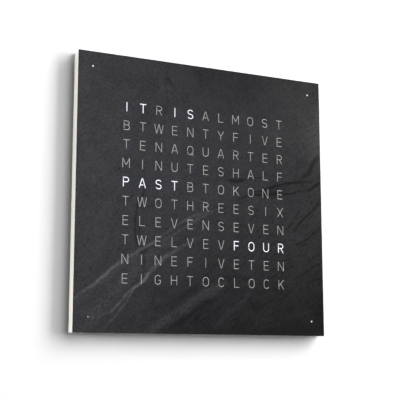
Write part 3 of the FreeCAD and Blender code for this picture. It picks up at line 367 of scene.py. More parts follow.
def brushed(name, colour, roughness, along, spread=0.1):
    """Metal with fine lines in one direction, which is the axis with the smallest scale."""
    look = Look(name)
    lines = look.noise(0.35, 3, 0.6, look.stretched(along))
    cloud = look.noise(9, 3)
    shade = look.shades(lines, colour, 1 - spread, 1 + spread)
    shade = look.mix(look.remap(cloud, 0.4, 0.75, 0.0, 0.35), shade, tint(colour, 0.8))
    gloss = look.add(look.remap(lines, 0.2, 0.8, -0.08, 0.08), look.spread(cloud, 0, 0.08), roughness)
    return look.finish(shade, gloss, look.bump(lines, 0.35, 0.01), Metallic=1.0)


def slate_look():
    """Split slate: cloudy grain, fine layers that run up to the right, and light where lit letters shine."""
    look = Look("slate")
    lean = (0, LAYER_LEAN, 0)
    layers = look.stretched((1.0, 1.0, 6.0), lean)
    cloud = look.noise(34, 6, 0.65)
    drift = look.noise(22, 6, 0.62, layers)
    grain = look.noise(3.2, 6, 0.75)
    speck = look.noise(3.6, 2, 0.5)
    tone, veins, ridge = (look.attribute(name) for name in ("tone", "veins", "ridge"))
    shade = look.add(look.spread(cloud, -0.17, 0.17), look.spread(drift, -0.11, 0.11))
    shade = look.add(shade, look.spread(grain, -0.42, 0.42), look.remap(speck, 0.64, 0.74, 0.0, -0.4))
    line = look.maths("ABSOLUTE", look.maths("SUBTRACT", look.noise(30, 3, 0.5, layers), 0.5))
    shade = look.add(shade, look.times(look.remap(line, 0.0, 0.035, -1.0, 0.0), veins))
    strands = look.noise(7, 5, 0.65, look.stretched((1.0, 1.0, 7.0), lean))
    fibre = look.times(look.spread(strands, -0.6, 0.6), look.highest(ridge, look.times(veins, 0.5)))
    shade = look.highest(look.add(shade, fibre, 1.0), 0.15)
    stain = look.mix(look.attribute("cool"), tint(SLATE_GREY, 4.0), tint(SLATE_BLUE, 4.0))
    paint = look.mix(look.remap(look.times(tone, shade), 0.0, 4.0), (0.0, 0.0, 0.0, 1), stain)
    normal = look.bump(look.noise(6, 6, 0.65, layers), 0.5, 0.14)
    normal = look.bump(grain, 0.6, 0.11, look.bump(fibre, 0.5, 0.3, normal))
    normal = look.bump(look.noise(0.9, 3, 0.6), 0.5, 0.05, normal)
    glow = look.times(look.attribute("glow"), SPILL_STRENGTH)
    light = {"Emission_Color": LIGHT_COLOUR, "Emission_Strength": glow}
    return look.finish(paint, look.spread(grain, 0.55, 0.72), normal, Specular_IOR_Level=0.04, **light)


def lacquer_look():
    """Satin lacquer with a faint orange peel outside, and milled, thinly painted board inside the pockets."""
    look = Look("ivory_lacquer")
    outside = look.outer(0.6)
    fibre = look.noise(0.8, 6, 0.75)
    skin = look.shades(look.noise(60, 3), IVORY, 0.985, 1.015)
    raw = look.mix(look.remap(fibre, 0.35, 0.65), tint(MILLED_COLOUR, 0.86), tint(MILLED_COLOUR, 1.08))
    gloss = look.mix(outside, (0.62, 0.62, 0.62, 1), (0.34, 0.34, 0.34, 1))
    height = look.times(look.maths("SUBTRACT", 1.0, outside), fibre)
    normal = look.bump(look.noise(2.2, 2, 0.4), 0.12, 0.02, look.bump(height, 0.5, 0.05))
    return look.finish(look.mix(outside, raw, skin), look.add(look.spread(fibre, -0.05, 0.05), gloss), normal)


def opal_look(name, colour, edge=True):
    """Opal acrylic, with lacquered outer edges where it has them."""
    look = Look(name)
    fine = look.noise(0.9, 3)
    paint = look.shades(look.noise(25, 3), colour, 0.96, 1.03)
    if edge:
        paint = look.mix(look.outer(0.2), paint, tint(IVORY, 1.0))
    inside = {"Subsurface_Weight": 0.12, "Subsurface_Scale": 0.001}
    return look.finish(paint, look.spread(fine, 0.26, 0.36), look.bump(fine, 0.15, 0.01), **inside)


def lit_look(name, colour, strength):
    """An opal piece with its lamp on, whose light is a little uneven."""
    look = Look(name)
    fine = look.noise(0.9, 3)
    level = look.spread(look.noise(14, 3), strength * 0.94, strength * 1.06)
    light = {"Emission_Color": LIGHT_COLOUR, "Emission_Strength": level}
    paint = look.shades(fine, colour, 0.95, 1.05)
    return look.finish(paint, look.spread(fine, 0.26, 0.36), look.bump(fine, 0.15, 0.01), **light)


def board_look():
    """Solder mask over patches of parallel tracks, across or upright, which show as lighter, raised lines."""
    look = Look("circuit_board")
    values = {"Vector": look.stretched((1, 1, 1), (math.pi / 2, 0, 0)), "Scale": 1 / (TRACK_PATCH * MM)}
    patches = look.node("ShaderNodeTexVoronoi", values, voronoi_dimensions="2D", distance="CHEBYCHEV")
    choice = look.node("ShaderNodeSeparateColor", {0: patches.outputs["Color"]}).outputs
    x, _, z = look.axes()
    across = look.mix(look.maths("GREATER_THAN", choice["Red"], 0.5), x, z)
    tracks = look.maths("FRACT", look.maths("DIVIDE", across, TRACK_PITCH * MM))
    tracks = look.maths("LESS_THAN", look.maths("ABSOLUTE", look.maths("SUBTRACT", tracks, 0.5)), 0.14)
    tracks = look.times(tracks, look.maths("GREATER_THAN", choice["Green"], 0.35))
    fine = look.noise(0.7, 4)
    mask = look.shades(look.noise(30, 3), BOARD_GREEN, 0.85, 1.12)
    paint = look.mix(look.times(tracks, 0.55), mask, tint(BOARD_GREEN, 2.0))
    normal = look.bump(tracks, 0.4, 0.035, look.bump(fine, 0.15, 0.01))
    return look.finish(paint, look.spread(fine, 0.26, 0.38), normal)


def ribbon_look():
    """A ribbon cable's film with its conductors as raised, darker bands."""
    look = Look("ribbon_film")
    wave = look.maths("SINE", look.times(look.axes()["X"], 2 * math.pi / (CONDUCTOR_PITCH * MM)))
    fine = look.noise(0.6, 3)
    paint = look.mix(look.remap(wave, 0.3, 0.7), tint(FILM, 1.0), tint(CONDUCTOR, 1.0))
    paint = look.mix(look.spread(fine, 0.0, 0.25), paint, tint(FILM, 0.8))
    normal = look.bump(wave, 0.5, 0.04, look.bump(fine, 0.1, 0.01))
    return look.finish(paint, look.spread(fine, 0.29, 0.39), normal)


(_, FACE_FRONT, _), (HALF_SIDE, FACE_BACK, _) = (np.array(corner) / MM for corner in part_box("slate_face"))

# Colours, as linear values
SLATE_BLUE = (0.0411, 0.0401, 0.0461)
SLATE_GREY = (0.0411, 0.0401, 0.0417)
IVORY = (0.75, 0.72, 0.671)
MILLED_COLOUR = (0.66, 0.63, 0.58)
OPAL = (0.66, 0.645, 0.61)
INLAY = (0.637, 0.621, 0.588)
LIGHT_COLOUR = (0.80, 0.86, 1.0, 1.0)
BOARD_GREEN = (0.012, 0.062, 0.03)
FILM = (0.52, 0.53, 0.51)
CONDUCTOR = (0.36, 0.34, 0.27)
LIT_STRENGTH = 0.8
SPILL_STRENGTH = 0.75
LAYER_LEAN = math.radians(38)  # the slope of the slate's layers
TRACK_PATCH = 11  # the size of a patch of parallel tracks on a circuit board
TRACK_PITCH = 1.27
CONDUCTOR_PITCH = 1.0

SLATE = slate_look()
LACQUER = lacquer_look()
OPAL_PANEL = opal_look("opal_acrylic", OPAL)
OPAL_INLAY = opal_look("opal_inlay", INLAY, edge=False)
LIT_INLAY = lit_look("lit_inlay", INLAY, LIT_STRENGTH)
LIT_LED = lit_look("led_phosphor_lit", (0.8, 0.74, 0.5), 2 * LIT_STRENGTH)
BOARD = board_look()
RIBBON = ribbon_look()
ZINC = brushed("zinc_steel", (0.48, 0.49, 0.50), 0.36, (0.06, 1, 1))
ZINC_DISC = brushed("zinc_disc", (0.50, 0.51, 0.52), 0.34, (1, 1, 0.1))
CAN_METAL = brushed("can_metal", (0.56, 0.56, 0.58), 0.3, (1, 0.08, 1))
CELL_STEEL = brushed("cell_steel", (0.50, 0.50, 0.49), 0.27, (1, 1, 0.08), 0.05)
BUTTON_METAL = brushed("button_metal", (0.52, 0.52, 0.53), 0.3, (0.08, 1, 1))
POWDER_COAT = mottled("back_panel", (0.017, 0.0172, 0.0185), 0.5, 0.5, 0.15, 0.05, 0.6)
SCREW_STEEL = mottled("screw_steel", (0.46, 0.46, 0.45), 0.32, 0.4, 0.12, 0.01, Metallic=1.0)
NICKEL = mottled("magnet_nickel", (0.50, 0.49, 0.465), 0.28, 0.6, 0.1, 0.008, Metallic=1.0)
BRASS = mottled("contact_brass", (0.60, 0.52, 0.34), 0.28, 0.2, 0.1, 0.005, Metallic=1.0)
COPPER = mottled("copper_coil", (0.55, 0.2, 0.075), 0.26, 0.3, 0.12, 0.008, Metallic=1.0, Coat_Weight=0.6)
SOLDER = mottled("tinned_lead", (0.56, 0.56, 0.55), 0.3, 0.15, 0.08, 0.004, Metallic=1.0)
GRID_WHITE = mottled("grid_plastic", (0.72, 0.72, 0.70), 0.6, 0.5, 0.04, 0.02)
LED_BODY = mottled("led_package", (0.74, 0.73, 0.70), 0.42, 0.25, 0.04, 0.006)
PHOSPHOR = mottled(
    "led_phosphor", (0.74, 0.52, 0.07), 0.3, 0.12, 0.12, 0.006, Subsurface_Weight=0.2, Subsurface_Scale=0.0004
)
EPOXY = mottled("chip_epoxy", (0.014, 0.014, 0.015), 0.48, 0.2, 0.2, 0.012)
PLUG_WHITE = mottled("plug_plastic", (0.64, 0.60, 0.50), 0.45, 0.5, 0.05, 0.01)
BLACK_PLASTIC = mottled("black_plastic", (0.012, 0.012, 0.013), 0.42, 0.4, 0.15, 0.02)
FERRITE = mottled("ferrite", (0.035, 0.033, 0.031), 0.55, 0.35, 0.25, 0.02)
CABLE_GREY = mottled("cable_jacket", (0.035, 0.035, 0.038), 0.5, 0.5, 0.12, 0.02)
PASSIVE_BODY = mottled("passive_body", (0.19, 0.12, 0.07), 0.4, 0.2, 0.15, 0.006)
CLEAR_EPOXY = mottled("sensor_epoxy", (0.10, 0.09, 0.11), 0.16, 0.2, 0.1, 0.003)
CLEAR = mottled("clear_acrylic", (0.94, 0.96, 0.97), 0.08, 0.8, 0.01, 0.003, 0.05, Transmission_Weight=0.92)

CARRIED = (
    (LACQUER, ("housing",)),
    (POWDER_COAT, ("back_cover",)),
    (ZINC, ("hanger_plate_left", "hanger_plate_right")),
    (OPAL_PANEL, ("cover_carrier",)),
    (GRID_WHITE, ("light_grid",)),
    (BOARD, ("led_board", "control_board", "radio_board", "key_board", "minute_boards")),
    (RIBBON, ("ribbon_cable",)),
    (CABLE_GREY, ("minute_cables", "radio_cable", "key_cable")),
    (BLACK_PLASTIC, ("cell_holder", "dc_jack", "antenna_clips", "key_switches")),
    (BLACK_PLASTIC, [f"button_{name}_plunger" for name in ("hour", "minute", "light", "mode")]),
)
for material, nodes in CARRIED:
    for node in nodes:
        NODES[node].data.materials.clear()
        NODES[node].data.materials.append(material)


# Lettering: a plain stencil alphabet, drawn as centre lines about the middle of a capital

CAP = 7.8  # half the height of a capital
HALF_STROKE = 0.55
BAR = CAP - HALF_STROKE  # the centre line of a top or bottom bar


def bend(x, z, across, up, start, end):
    """Points on an arc of an ellipse, from one angle to another."""
    count = max(2, round(abs(end - start) / 15))
    angles = [math.radians(start + (end - start) * step / count) for step in range(count + 1)]
    return [(x + across * math.cos(angle), z + up * math.sin(angle)) for angle in angles]


def stem(x, low=-CAP, high=CAP):
    return [(x, low), (x, high)]


BOWL = [(-5.15, BAR), (1.0, BAR), *bend(1.0, 3.55, 3.6, 3.6, 90, -90)[1:], (-4.3, -0.05)]
RING = [(-4.95, -1.3), *bend(0, 2.2, 4.95, 4.95, 180, 0), *bend(0, -2.2, 4.95, 4.95, 0, -177)]
GLYPHS = {
    "A": [[(-5.4, -CAP), (-0.45, CAP)], [(5.4, -CAP), (0.45, CAP)], [(-3.85, -3), (1.85, -3)]],
    "B": [
        stem(-4.4, -5.2, 5.2),
        [(-5.25, BAR), (1.2, BAR), *bend(1.2, 3.85, 3.1, 3.3, 90, -90)[1:], (-4.4, 0.55)],
        [(-5.25, -BAR), (1.4, -BAR), *bend(1.4, -3.3, 3.5, 3.85, -90, 90)[1:], (-4.4, 0.55)],
    ],
    "C": [bend(0, 3.0, 4.6, 4.15, 22, 180) + bend(0, -3.0, 4.6, 4.15, 180, 338)],
    "E": [stem(-4.1), [(-4.1, BAR), (4.7, BAR)], [(-4.1, 0.3), (4.0, 0.3)], [(-4.1, -BAR), (4.7, -BAR)]],
    "F": [stem(-4.0), [(-4.0, BAR), (4.6, BAR)], [(-4.0, 0.1), (3.8, 0.1)]],
    "G": [bend(0, 3.0, 4.6, 4.15, 25, 180) + bend(0, -3.0, 4.6, 4.15, 180, 360) + [(4.6, -0.6), (0.6, -0.6)]],
    "H": [stem(-4.8), stem(4.8), [(-4.8, 0.2), (4.8, 0.2)]],
    "I": [stem(0)],
    "K": [stem(-4.4), [(4.9, CAP), (-4.0, -1.6)], [(-1.2, 1.6), (5.3, -CAP)]],
    "L": [stem(-4.0), [(-4.0, -BAR), (5.0, -BAR)]],
    "M": [stem(-5.8), stem(5.8), [(-5.7, CAP), (-0.2, -3.2)], [(5.7, CAP), (0.2, -3.2)]],
    "N": [stem(-5.1), stem(5.1), [(-4.95, CAP), (4.95, -CAP)]],
    "O": [RING],
    "P": [stem(-4.3, -CAP, 5.2), BOWL],
    "Q": [RING, [(1.4, -3.6), (5.6, -CAP)]],
    "R": [stem(-4.3, -CAP, 5.2), BOWL, [(0.2, -0.05), (4.9, -CAP)]],
    "S": [bend(0, 3.6, 4.5, 3.55, 25, 270) + bend(0, -3.55, 4.5, 3.6, 90, -155)[1:]],
    "T": [[(-5.4, BAR), (5.4, BAR)], stem(0, -CAP, BAR)],
    "U": [[(-4.9, CAP), *bend(0, -2.25, 4.9, 4.9, 180, 360), (4.9, CAP)]],
    "V": [[(-5.1, CAP), (-0.3, -CAP)], [(5.1, CAP), (0.3, -CAP)]],
    "W": [[(x, CAP), (foot, -CAP)] for x, foot in ((-7.6, -4.35), (-0.25, -3.85), (0.25, 3.85), (7.6, 4.35))],
    "X": [[(-5.2, CAP), (5.2, -CAP)], [(5.2, CAP), (-5.2, -CAP)]],
    "Y": [[(-5.3, CAP), (-0.3, -0.6)], [(5.3, CAP), (0.3, -0.6)], stem(0, -CAP, 0.6)],
}
ROWS = (
    "ITRISALMOST",
    "BTWENTYFIVE",
    "TENAQUARTER",
    "MINUTESHALF",
    "PASTBTOKONE",
    "TWOTHREESIX",
    "ELEVENSEVEN",
    "TWELVEVFOUR",
    "NINEFIVETEN",
    "EIGHTOCLOCK",
)
LIT_CELLS = {0: (0, 1, 3, 4), 4: (0, 1, 2, 3), 7: (7, 8, 9, 10)}


def stroke_outline(path, half):
    """The outline of a stroke along a path. A slanting stroke's ends are cut level."""
    points = [Vector(point) for point in path]
    left, right = [], []
    for index, point in enumerate(points):
        ends = points[max(index - 1, 0):index + 2]
        runs = [(after - before).normalized() for before, after in zip(ends, ends[1:])]
        normals = [Vector((-run.y, run.x)) for run in runs]
        if len(points) == 2 and abs(runs[0].x) > 0.1 and abs(runs[0].y) > 0.5:
            offset = Vector((half / normals[0].x, 0))
        else:
            middle = sum(normals, Vector((0, 0))).normalized()
            offset = middle * (half / middle.dot(normals[0]))
        left.append(point + offset)
        right.append(point - offset)
    ring = [tuple(point) for point in right + left[::-1]]
    area = sum(x1 * y2 - x2 * y1 for (x1, y1), (x2, y2) in zip(ring, ring[1:] + ring[:1]))
    return ring if area > 0 else ring[::-1]


def lengthened(path, by):
    """The path with both ends drawn out, or drawn in where by is negative."""
    first, second, before, last = (Vector(point) for point in (path[0], path[1], path[-2], path[-1]))
    start = first + (first - second).normalized() * by
    end = last + (last - before).normalized() * by
    return [tuple(start), *path[1:-1], tuple(end)]


def divided(outline, step):
    """The outline with points added so that no side is longer than step."""
    points = []
    for start, end in zip(outline, outline[1:] + outline[:1]):
        count = max(1, math.ceil(math.dist(start, end) / step))
        shares = [part / count for part in range(count)]
        points += [(start[0] + (end[0] - start[0]) * s, start[1] + (end[1] - start[1]) * s) for s in shares]
    return points


def distance_to(x, z, path):
    """Distance from each point to a path, and how far along the path the nearest place is, from 0 to 1."""
    best, along = np.full(len(x), np.inf), np.zeros(len(x))
    for index, ((x1, z1), (x2, z2)) in enumerate(zip(path, path[1:])):
        dx, dz = x2 - x1, z2 - z1
        share = np.clip(((x - x1) * dx + (z - z1) * dz) / (dx * dx + dz * dz), 0, 1)
        gap = np.hypot(x - x1 - share * dx, z - z1 - share * dz)
        nearer = gap < best
        best = np.where(nearer, gap, best)
        along = np.where(nearer, (index + share) / (len(path) - 1), along)
    return best, along


CELLS = [middle for middle, size in solids("letter_leds")]
COLUMN_X = sorted({round(float(middle[0]), 3) for middle in CELLS})
ROW_Z = sorted({round(float(middle[2]), 3) for middle in CELLS}, reverse=True)
LIT_SPOTS = {(COLUMN_X[column], ROW_Z[row]) for row, columns in LIT_CELLS.items() for column in columns}
DOTS = [(float(middle[0]), float(middle[2])) for middle, size in solids("minute_light_guides")]
DOT_RADIUS = 1.3
SPILL = 0.5  # how far a lit letter's light shows beside it
INLAY_STEP = 0.22  # how far the inlays lie below the stone


def letter_is_lit(x, z):
    return (round(float(x), 3), round(float(z), 3)) in LIT_SPOTS


def dot_is_lit(x, z):
    """All the corner dots but the lower left one are lit."""
    return x > 0 or z > 0


def strokes():
    """Every stroke of the face as (centre line, lit)."""
    found = []
    for cell_z, word in zip(ROW_Z, ROWS):
        for cell_x, letter in zip(COLUMN_X, word):
            for path in GLYPHS[letter]:
                found.append(([(cell_x + x, cell_z + z) for x, z in path], letter_is_lit(cell_x, cell_z)))
    return found


# Marks in the stone, and a painted sheen among them: half width in millimetres, lightness, height in
# millimetres, centre line
STREAKS = (
    # the pale ridges at the lower left
    (2.5, 1.0, 0.16, (-240, -184, -210, -161, -192, -150, -175, -136, -162, -123, -150, -112, -137, -105,
                      -125, -98, -115, -90, -102, -82, -90, -76)),
    (2.2, 0.7, 0.12, (-110, -87, -98, -80, -75, -66, -60, -56, -45, -46, -28, -35, -6, -26, 12, -20)),
    (5.5, 0.3, 0.05, (-215, -170, -178, -144, -150, -119, -125, -104, -100, -90)),
    (2.6, 0.5, 0.08, (-88, -84, -75, -75, -50, -59, -25, -44, 0, -29, 20, -18)),
    (5.0, 0.4, 0.05, (-112, -106, -88, -93, -62, -80, -38, -64)),
    (2.2, 1.1, 0.16, (-182, -201, -165, -193, -155, -183, -145, -172, -137, -162, -127, -155, -117, -150,
                      -107, -141, -100, -130)),
    (3.2, 1.15, 0.16, (-116, -148, -107, -141, -100, -130, -90, -119, -80, -108, -70, -100)),
    (3.0, 0.8, 0.12, (-84, -111, -70, -100, -55, -92, -40, -82, -25, -73, -6, -63)),
    (1.7, 0.9, 0.12, (-174, -218, -160, -205, -150, -191, -141, -178, -133, -167, -126, -156, -118, -150)),
    (10.0, 0.36, 0.05, (-206, -220, -180, -186, -153, -155, -128, -132, -106, -112)),
    (7.5, 0.95, 0.14, (-112, -229, -78, -207, -50, -192, -25, -175, -5, -162, 16, -151, 38, -140)),
    (3.0, -0.3, -0.08, (-84, -230, -53, -209, -26, -192, 0, -176, 26, -161)),
    (4.0, -0.25, -0.06, (-112, -193, -68, -177, -36, -158, -2, -143)),
    (5.0, 0.42, 0.07, (5, -224, 37, -193, 57, -176, 84, -151)),
    (5.0, 0.35, 0.05, (78, -224, 104, -198, 122, -178)),
    # the dark cracks beside them
    (2.4, -0.45, -0.08, (-108, 14, -113, -8, -123, -24, -126, -50, -124, -72, -121, -88)),
    (2.8, -0.35, -0.05, (-119, -48, -117, -70)),
    (2.8, -0.5, -0.06, (-116, -100, -104, -89)),
    (3.2, -0.4, -0.05, (-108, -102, -110, -124)),
    (1.6, -0.35, -0.05, (-70, -61, -48, -50, -28, -42)),
    # the dark cracks at the right
    (2.3, -0.6, -0.14, (56, 0, 75, 7, 100, 12, 125, 16, 140, 17, 162, 20, 180, 24, 202, 26)),
    (4.5, -0.4, -0.05, (94, 12, 120, 14, 144, 19)),
    (8.0, -0.22, -0.04, (98, 15, 125, 22, 168, 32)),
    (2.0, -0.75, -0.18, (88, 15, 105, 20, 120, 25, 137, 31, 155, 37, 175, 40, 190, 42, 205, 42)),
    (3.8, -0.55, -0.14, (180, 44, 200, 57, 207, 70, 215, 82, 228, 100)),
    (2.6, -0.8, -0.16, (196, 23, 206, 29, 212, 35, 228, 45)),
    (3.4, -0.65, -0.06, (38, 34, 52, 33, 64, 34, 76, 38)),
    (1.6, -0.3, -0.05, (70, 37, 100, 42, 114, 43)),
    (1.9, -0.65, -0.14, (166, -50, 180, -31, 194, -20, 209, -6, 218, 4, 228, 14)),
    (2.6, -0.3, -0.05, (150, -50, 165, -32, 175, -17, 186, -3)),
    (1.9, -0.65, -0.14, (164, -72, 175, -68, 187, -62, 200, -56, 212, -45, 228, -29)),
    (1.6, -0.45, -0.1, (190, -100, 207, -91, 215, -86, 228, -78)),
    (1.6, -0.45, -0.1, (182, -123, 200, -112, 212, -104, 228, -97)),
    (1.8, -0.4, -0.08, (186, -138, 205, -132, 228, -124)),
    (1.2, -0.5, -0.1, (96, -96, 125, -97, 140, -100, 157, -97, 172, -89)),
    # a split and two dents at the top left
    (4.5, -0.32, -0.05, (-73, 200, -66, 190, -55, 179)),
    (1.6, -0.3, -0.05, (-75, 204, -72, 176, -70, 150, -74, 124)),
    (4.0, -0.25, 0.0, (-18, 217, -7, 209)),
    # slow changes from place to place: the first is a painted sheen along the right edge, the others are
    # lighter and darker patches
    (24.0, 0.6, 0.0, (228, 70, 226, 130, 230, 190)),
    (45.0, -0.28, 0.0, (-40, 215, 40, 205, 120, 212)),
    (40.0, -0.28, 0.0, (-70, -214, -20, -196, 25, -198)),
    (40.0, 0.95, 0.0, (190, -170, 200, -215, 215, -200)),
    (30.0, 0.3, 0.0, (95, -222, 150, -176)),
    (45.0, 0.22, 0.0, (165, -50, 185, -100, 175, -150)),
    (35.0, -0.1, 0.0, (-10, -148, 90, -158)),
    (45.0, 0.11, 0.0, (165, 90, 190, 165)),
    (45.0, 0.08, 0.0, (-60, 45, 0, -45)),
)
NARROW = 12  # a mark with a smaller half width than this has plainer edges
FINE = 5  # and near one with a smaller half width than this the mesh is fine
WANDER = 2.5  # how far the marks stray from their lines
WANDER_RATE = 0.025  # how quickly they do so, per millimetre
DARKEST = 0.32
COARSE_PITCH, FINE_PITCH = 4.4, 1.5  # of the mesh
noise.seed_set(1)  # turbulence_vector takes its place in the noise from the clock until it is seeded


def pairs(line):
    return list(zip(line[::2], line[1::2]))


def stone(x, z):
    """The height of the slate's face at each point, and the values that its material reads there."""
    places = (Vector((a * WANDER_RATE, 3.1, b * WANDER_RATE)) for a, b in zip(x, z))
    field = np.array([noise.turbulence_vector(place, 4, False)[:] for place in places])
    wavy_x, wavy_z = x + WANDER * field[:, 0], z + WANDER * field[:, 2]
    across, up = x / HALF_SIDE, z / HALF_SIDE
    # the face lighter towards the left and darker towards the bottom and the lower right, before the marks
    tone = 1.04 - 0.25 * across + 0.22 * up + 0.23 * across * up + 0.11 * across**2 - 0.29 * up**2
    tone += 0.08 * across**2 * up - 0.12 * across * up**2
    height, pale = 0.05 * field[:, 1], np.zeros(len(x))
    for half_width, lightness, rise, line in STREAKS:
        gap, along = distance_to(wavy_x, wavy_z, pairs(line))
        taper = np.clip(np.sin(np.pi * (0.06 + 0.88 * along)) * 1.6, 0, 1)
        reach = half_width * (0.55 + 0.45 * taper)
        ridge = np.exp(-((gap / reach) ** (3 if half_width < NARROW else 2))) * taper
        tone = tone * (1 + lightness * ridge)
        height += rise * ridge
        if rise > 0:
            pale = np.maximum(pale, ridge)
    for size, amount in ((26, 0.06), (9, 0.03)):
        along = (x * math.cos(LAYER_LEAN) + z * math.sin(LAYER_LEAN)) / (4 * size)
        over = (z * math.cos(LAYER_LEAN) - x * math.sin(LAYER_LEAN)) / size
        waves = [noise.fractal(Vector((a, b, 7.7)), 0.9, 2.0, 4) for a, b in zip(along, over)]
        height += amount * np.array(waves)
    veins = 0.1 + 0.5 * np.clip((across - up + 0.1) / 1.1, 0, 1)
    cool = np.clip(1 - 0.87 * ((x + 60) / 260) ** 2 - 0.3 * ((z - 20) / 200) ** 2, 0, 1)
    return height, {"tone": np.maximum(tone, DARKEST), "veins": veins, "cool": cool, "ridge": pale}


def near_streaks(x, z):
    """Which points lie so near a narrow streak that the mesh has to be fine there."""
    near = np.zeros(len(x), bool)
    for half_width, _, _, line in STREAKS:
        if half_width < FINE:
            near |= distance_to(x, z, pairs(line))[0] < 2 * half_width + 3
    return near


def grid(pitch):
    """Evenly spread places on the face."""
    count = int(2 * HALF_SIDE / pitch)
    steps = (np.arange(count) + 0.5) / count * 2 * HALF_SIDE - HALF_SIDE
    return [axis.ravel() for axis in np.meshgrid(steps, steps)]


def clear_places(marks):
    """Places for the stone's points: closer together near the streaks, and none too near a letter or dot."""
    (coarse_x, coarse_z), (fine_x, fine_z) = grid(COARSE_PITCH), grid(FINE_PITCH)
    open_stone, streaked = ~near_streaks(coarse_x, coarse_z), near_streaks(fine_x, fine_z)
    x = np.concatenate([coarse_x[open_stone], fine_x[streaked]])
    z = np.concatenate([coarse_z[open_stone], fine_z[streaked]])
    clear = np.ones(len(x), bool)
    for path, lit in marks:
        clear &= distance_to(x, z, path)[0] > HALF_STROKE + (SPILL + 0.6 if lit else 0.7)
    for dot_x, dot_z in DOTS:
        clear &= np.hypot(x - dot_x, z - dot_z) > DOT_RADIUS + 0.7
    return list(zip(x[clear].tolist(), z[clear].tolist()))


def slab(front, back, faces):
    """A sheet between two sets of points, closed along the borders of its faces."""
    used = sorted({index for face in faces for index in face})
    number = {index: place for place, index in enumerate(used)}
    count = len(used)
    points = [front[index] for index in used] + [back[index] for index in used]
    upper = [[number[index] for index in face] for face in faces]
    sides = {(a, b) for face in upper for a, b in zip(face, face[1:] + face[:1])}
    walls = [[b, a, count + a, count + b] for a, b in sides if (b, a) not in sides]
    return points, upper + [[count + index for index in face[::-1]] for face in upper] + walls


def paint_points(made, x, z, layers):
    """Stores named values on each of the piece's points, taken from the nearest of the places x, z."""
    tree = kdtree.KDTree(len(x))
    for index, (across, up) in enumerate(zip(x.tolist(), z.tolist())):
        tree.insert((across, 0, up), index)
    tree.balance()
    nearest = [tree.find((vertex.co.x / MM, 0, vertex.co.z / MM))[1] for vertex in made.data.vertices]
    for name, values in layers.items():
        layer = made.data.attributes.new(name, "FLOAT", "POINT")
        layer.data.foreach_set("value", np.asarray(values, np.float32)[nearest])


def make_face():
    """The slate with its letters cut through, and the inlays that fill them."""
    marks = strokes()
    lit_paths = [path for path, lit in marks if lit]
    outlines = [divided(rectangle(2 * HALF_SIDE, 2 * HALF_SIDE), 4)]
    outlines += [divided(stroke_outline(path, HALF_STROKE), 2.5) for path, _ in marks]
    outlines += [circle(DOT_RADIUS, 24, x, z) for x, z in DOTS]
    is_lit = [False, *(lit for _, lit in marks), *(dot_is_lit(x, z) for x, z in DOTS)]
    loose = clear_places(marks)
    for ring in (0.5 * SPILL, SPILL):
        for path in lit_paths:
            loose += divided(stroke_outline(lengthened(path, ring), HALF_STROKE + ring), 1.2)
    points, faces, held = triangles(outlines, loose)
    x, z = (np.array(axis) for axis in zip(*points))
    height, values = stone(x, z)
    top = FACE_FRONT + np.clip(0.2 - height, 0.0, 0.45)
    glow = np.zeros(len(points))
    for path in lit_paths:
        gap = distance_to(x, z, lengthened(path, -HALF_STROKE))[0] - HALF_STROKE
        glow = np.maximum(glow, 1 - np.clip(gap / SPILL, 0, 1))
    kinds = {"stone": [], "unlit": [], "lit": []}
    for face, within in zip(faces, held):
        cut = within - {0}
        if not cut:
            kinds["stone"].append(face)
        else:
            kinds["lit" if any(is_lit[index] for index in cut) else "unlit"].append(face)
    front = list(zip(x, top, z))
    back = [(a, FACE_BACK, c) for a, c in zip(x, z)]
    stone_part = slab(front, back, kinds["stone"]), SLATE
    slate = piece("slate_veneer", "front_cover", [stone_part], ["slate_face"])
    paint_points(slate, x, z, values | {"glow": glow})
    inlay_front = [(a, b + INLAY_STEP, c) for a, b, c in front]
    inlays = {"letter_inlays": ("unlit", OPAL_INLAY), "lit_letter_inlays": ("lit", LIT_INLAY)}
    for name, (kind, material) in inlays.items():
        piece(name, "front_cover", [(slab(inlay_front, back, kinds[kind]), material)])


make_face()


def foot_of(middle, size, facing):
    """Where a solid starts that stands along the facing's Z."""
    away = np.array(facing.col[2][:3])
    return middle - away * abs(away @ size) / 2


# Fasteners: each has the top of its head at z = 0 and points down

SCREW_SIDES = 24
SCREWS = (
    # the head's height, the shank's radius, whether it is countersunk, and what it holds
    (1.7, 1.5, True, ("back_cover", "hanger")),
    (1.7, 1.5, False, ("led_board",)),
    (1.3, 1.0, False, ("control_board", "radio_board", "key_board", "minute_board")),
)


def threaded(radius, low, high, pitch):
    """The wall of a screw thread, which runs out into a plain circle at both ends."""
    count = round((high - low) / pitch * 4)
    rings = []
    for number in range(count + 1):
        z = low + (high - low) * number / count
        depth = 0.28 * pitch * min(1.0, 0.8 * (z - low) / pitch, 0.8 * (high - z) / pitch)
        ring = []
        for side, (x, y) in enumerate(circle(1.0, SCREW_SIDES)):
            reach = radius - depth * abs(2 * ((z / pitch + side / SCREW_SIDES) % 1) - 1)
            ring.append((x * reach, y * reach, z))
        rings.append(ring)
    return linked(rings)


def screw(radius, head, shank, length, countersunk):
    """A cross-recess screw with a countersunk or a pan head."""
    rim = circle(radius * (0.96 if countersunk else 0.66), SCREW_SIDES)
    top = sunk(rim, cross(radius * 0.54, radius * 0.12), 0, head * 0.62, cross(radius * 0.24, radius * 0.08))
    core, start = circle(shank, SCREW_SIDES), 0.8 * shank - length
    layers = [(core, -head)]
    for share, depth in [(1, 0.1)] if countersunk else [(1, 1), (1, 0.5), (0.9, 0.22)]:
        layers.append((circle(share * radius, SCREW_SIDES), -depth * head))
    tip = [(circle(0.4 * shank, SCREW_SIDES), -length), (core, start)]
    thread = threaded(shank, start, -head, 0.5 * shank)
    return joined(lid(*tip[0]), walled(tip), thread, walled([*layers, (rim, 0)]), top)


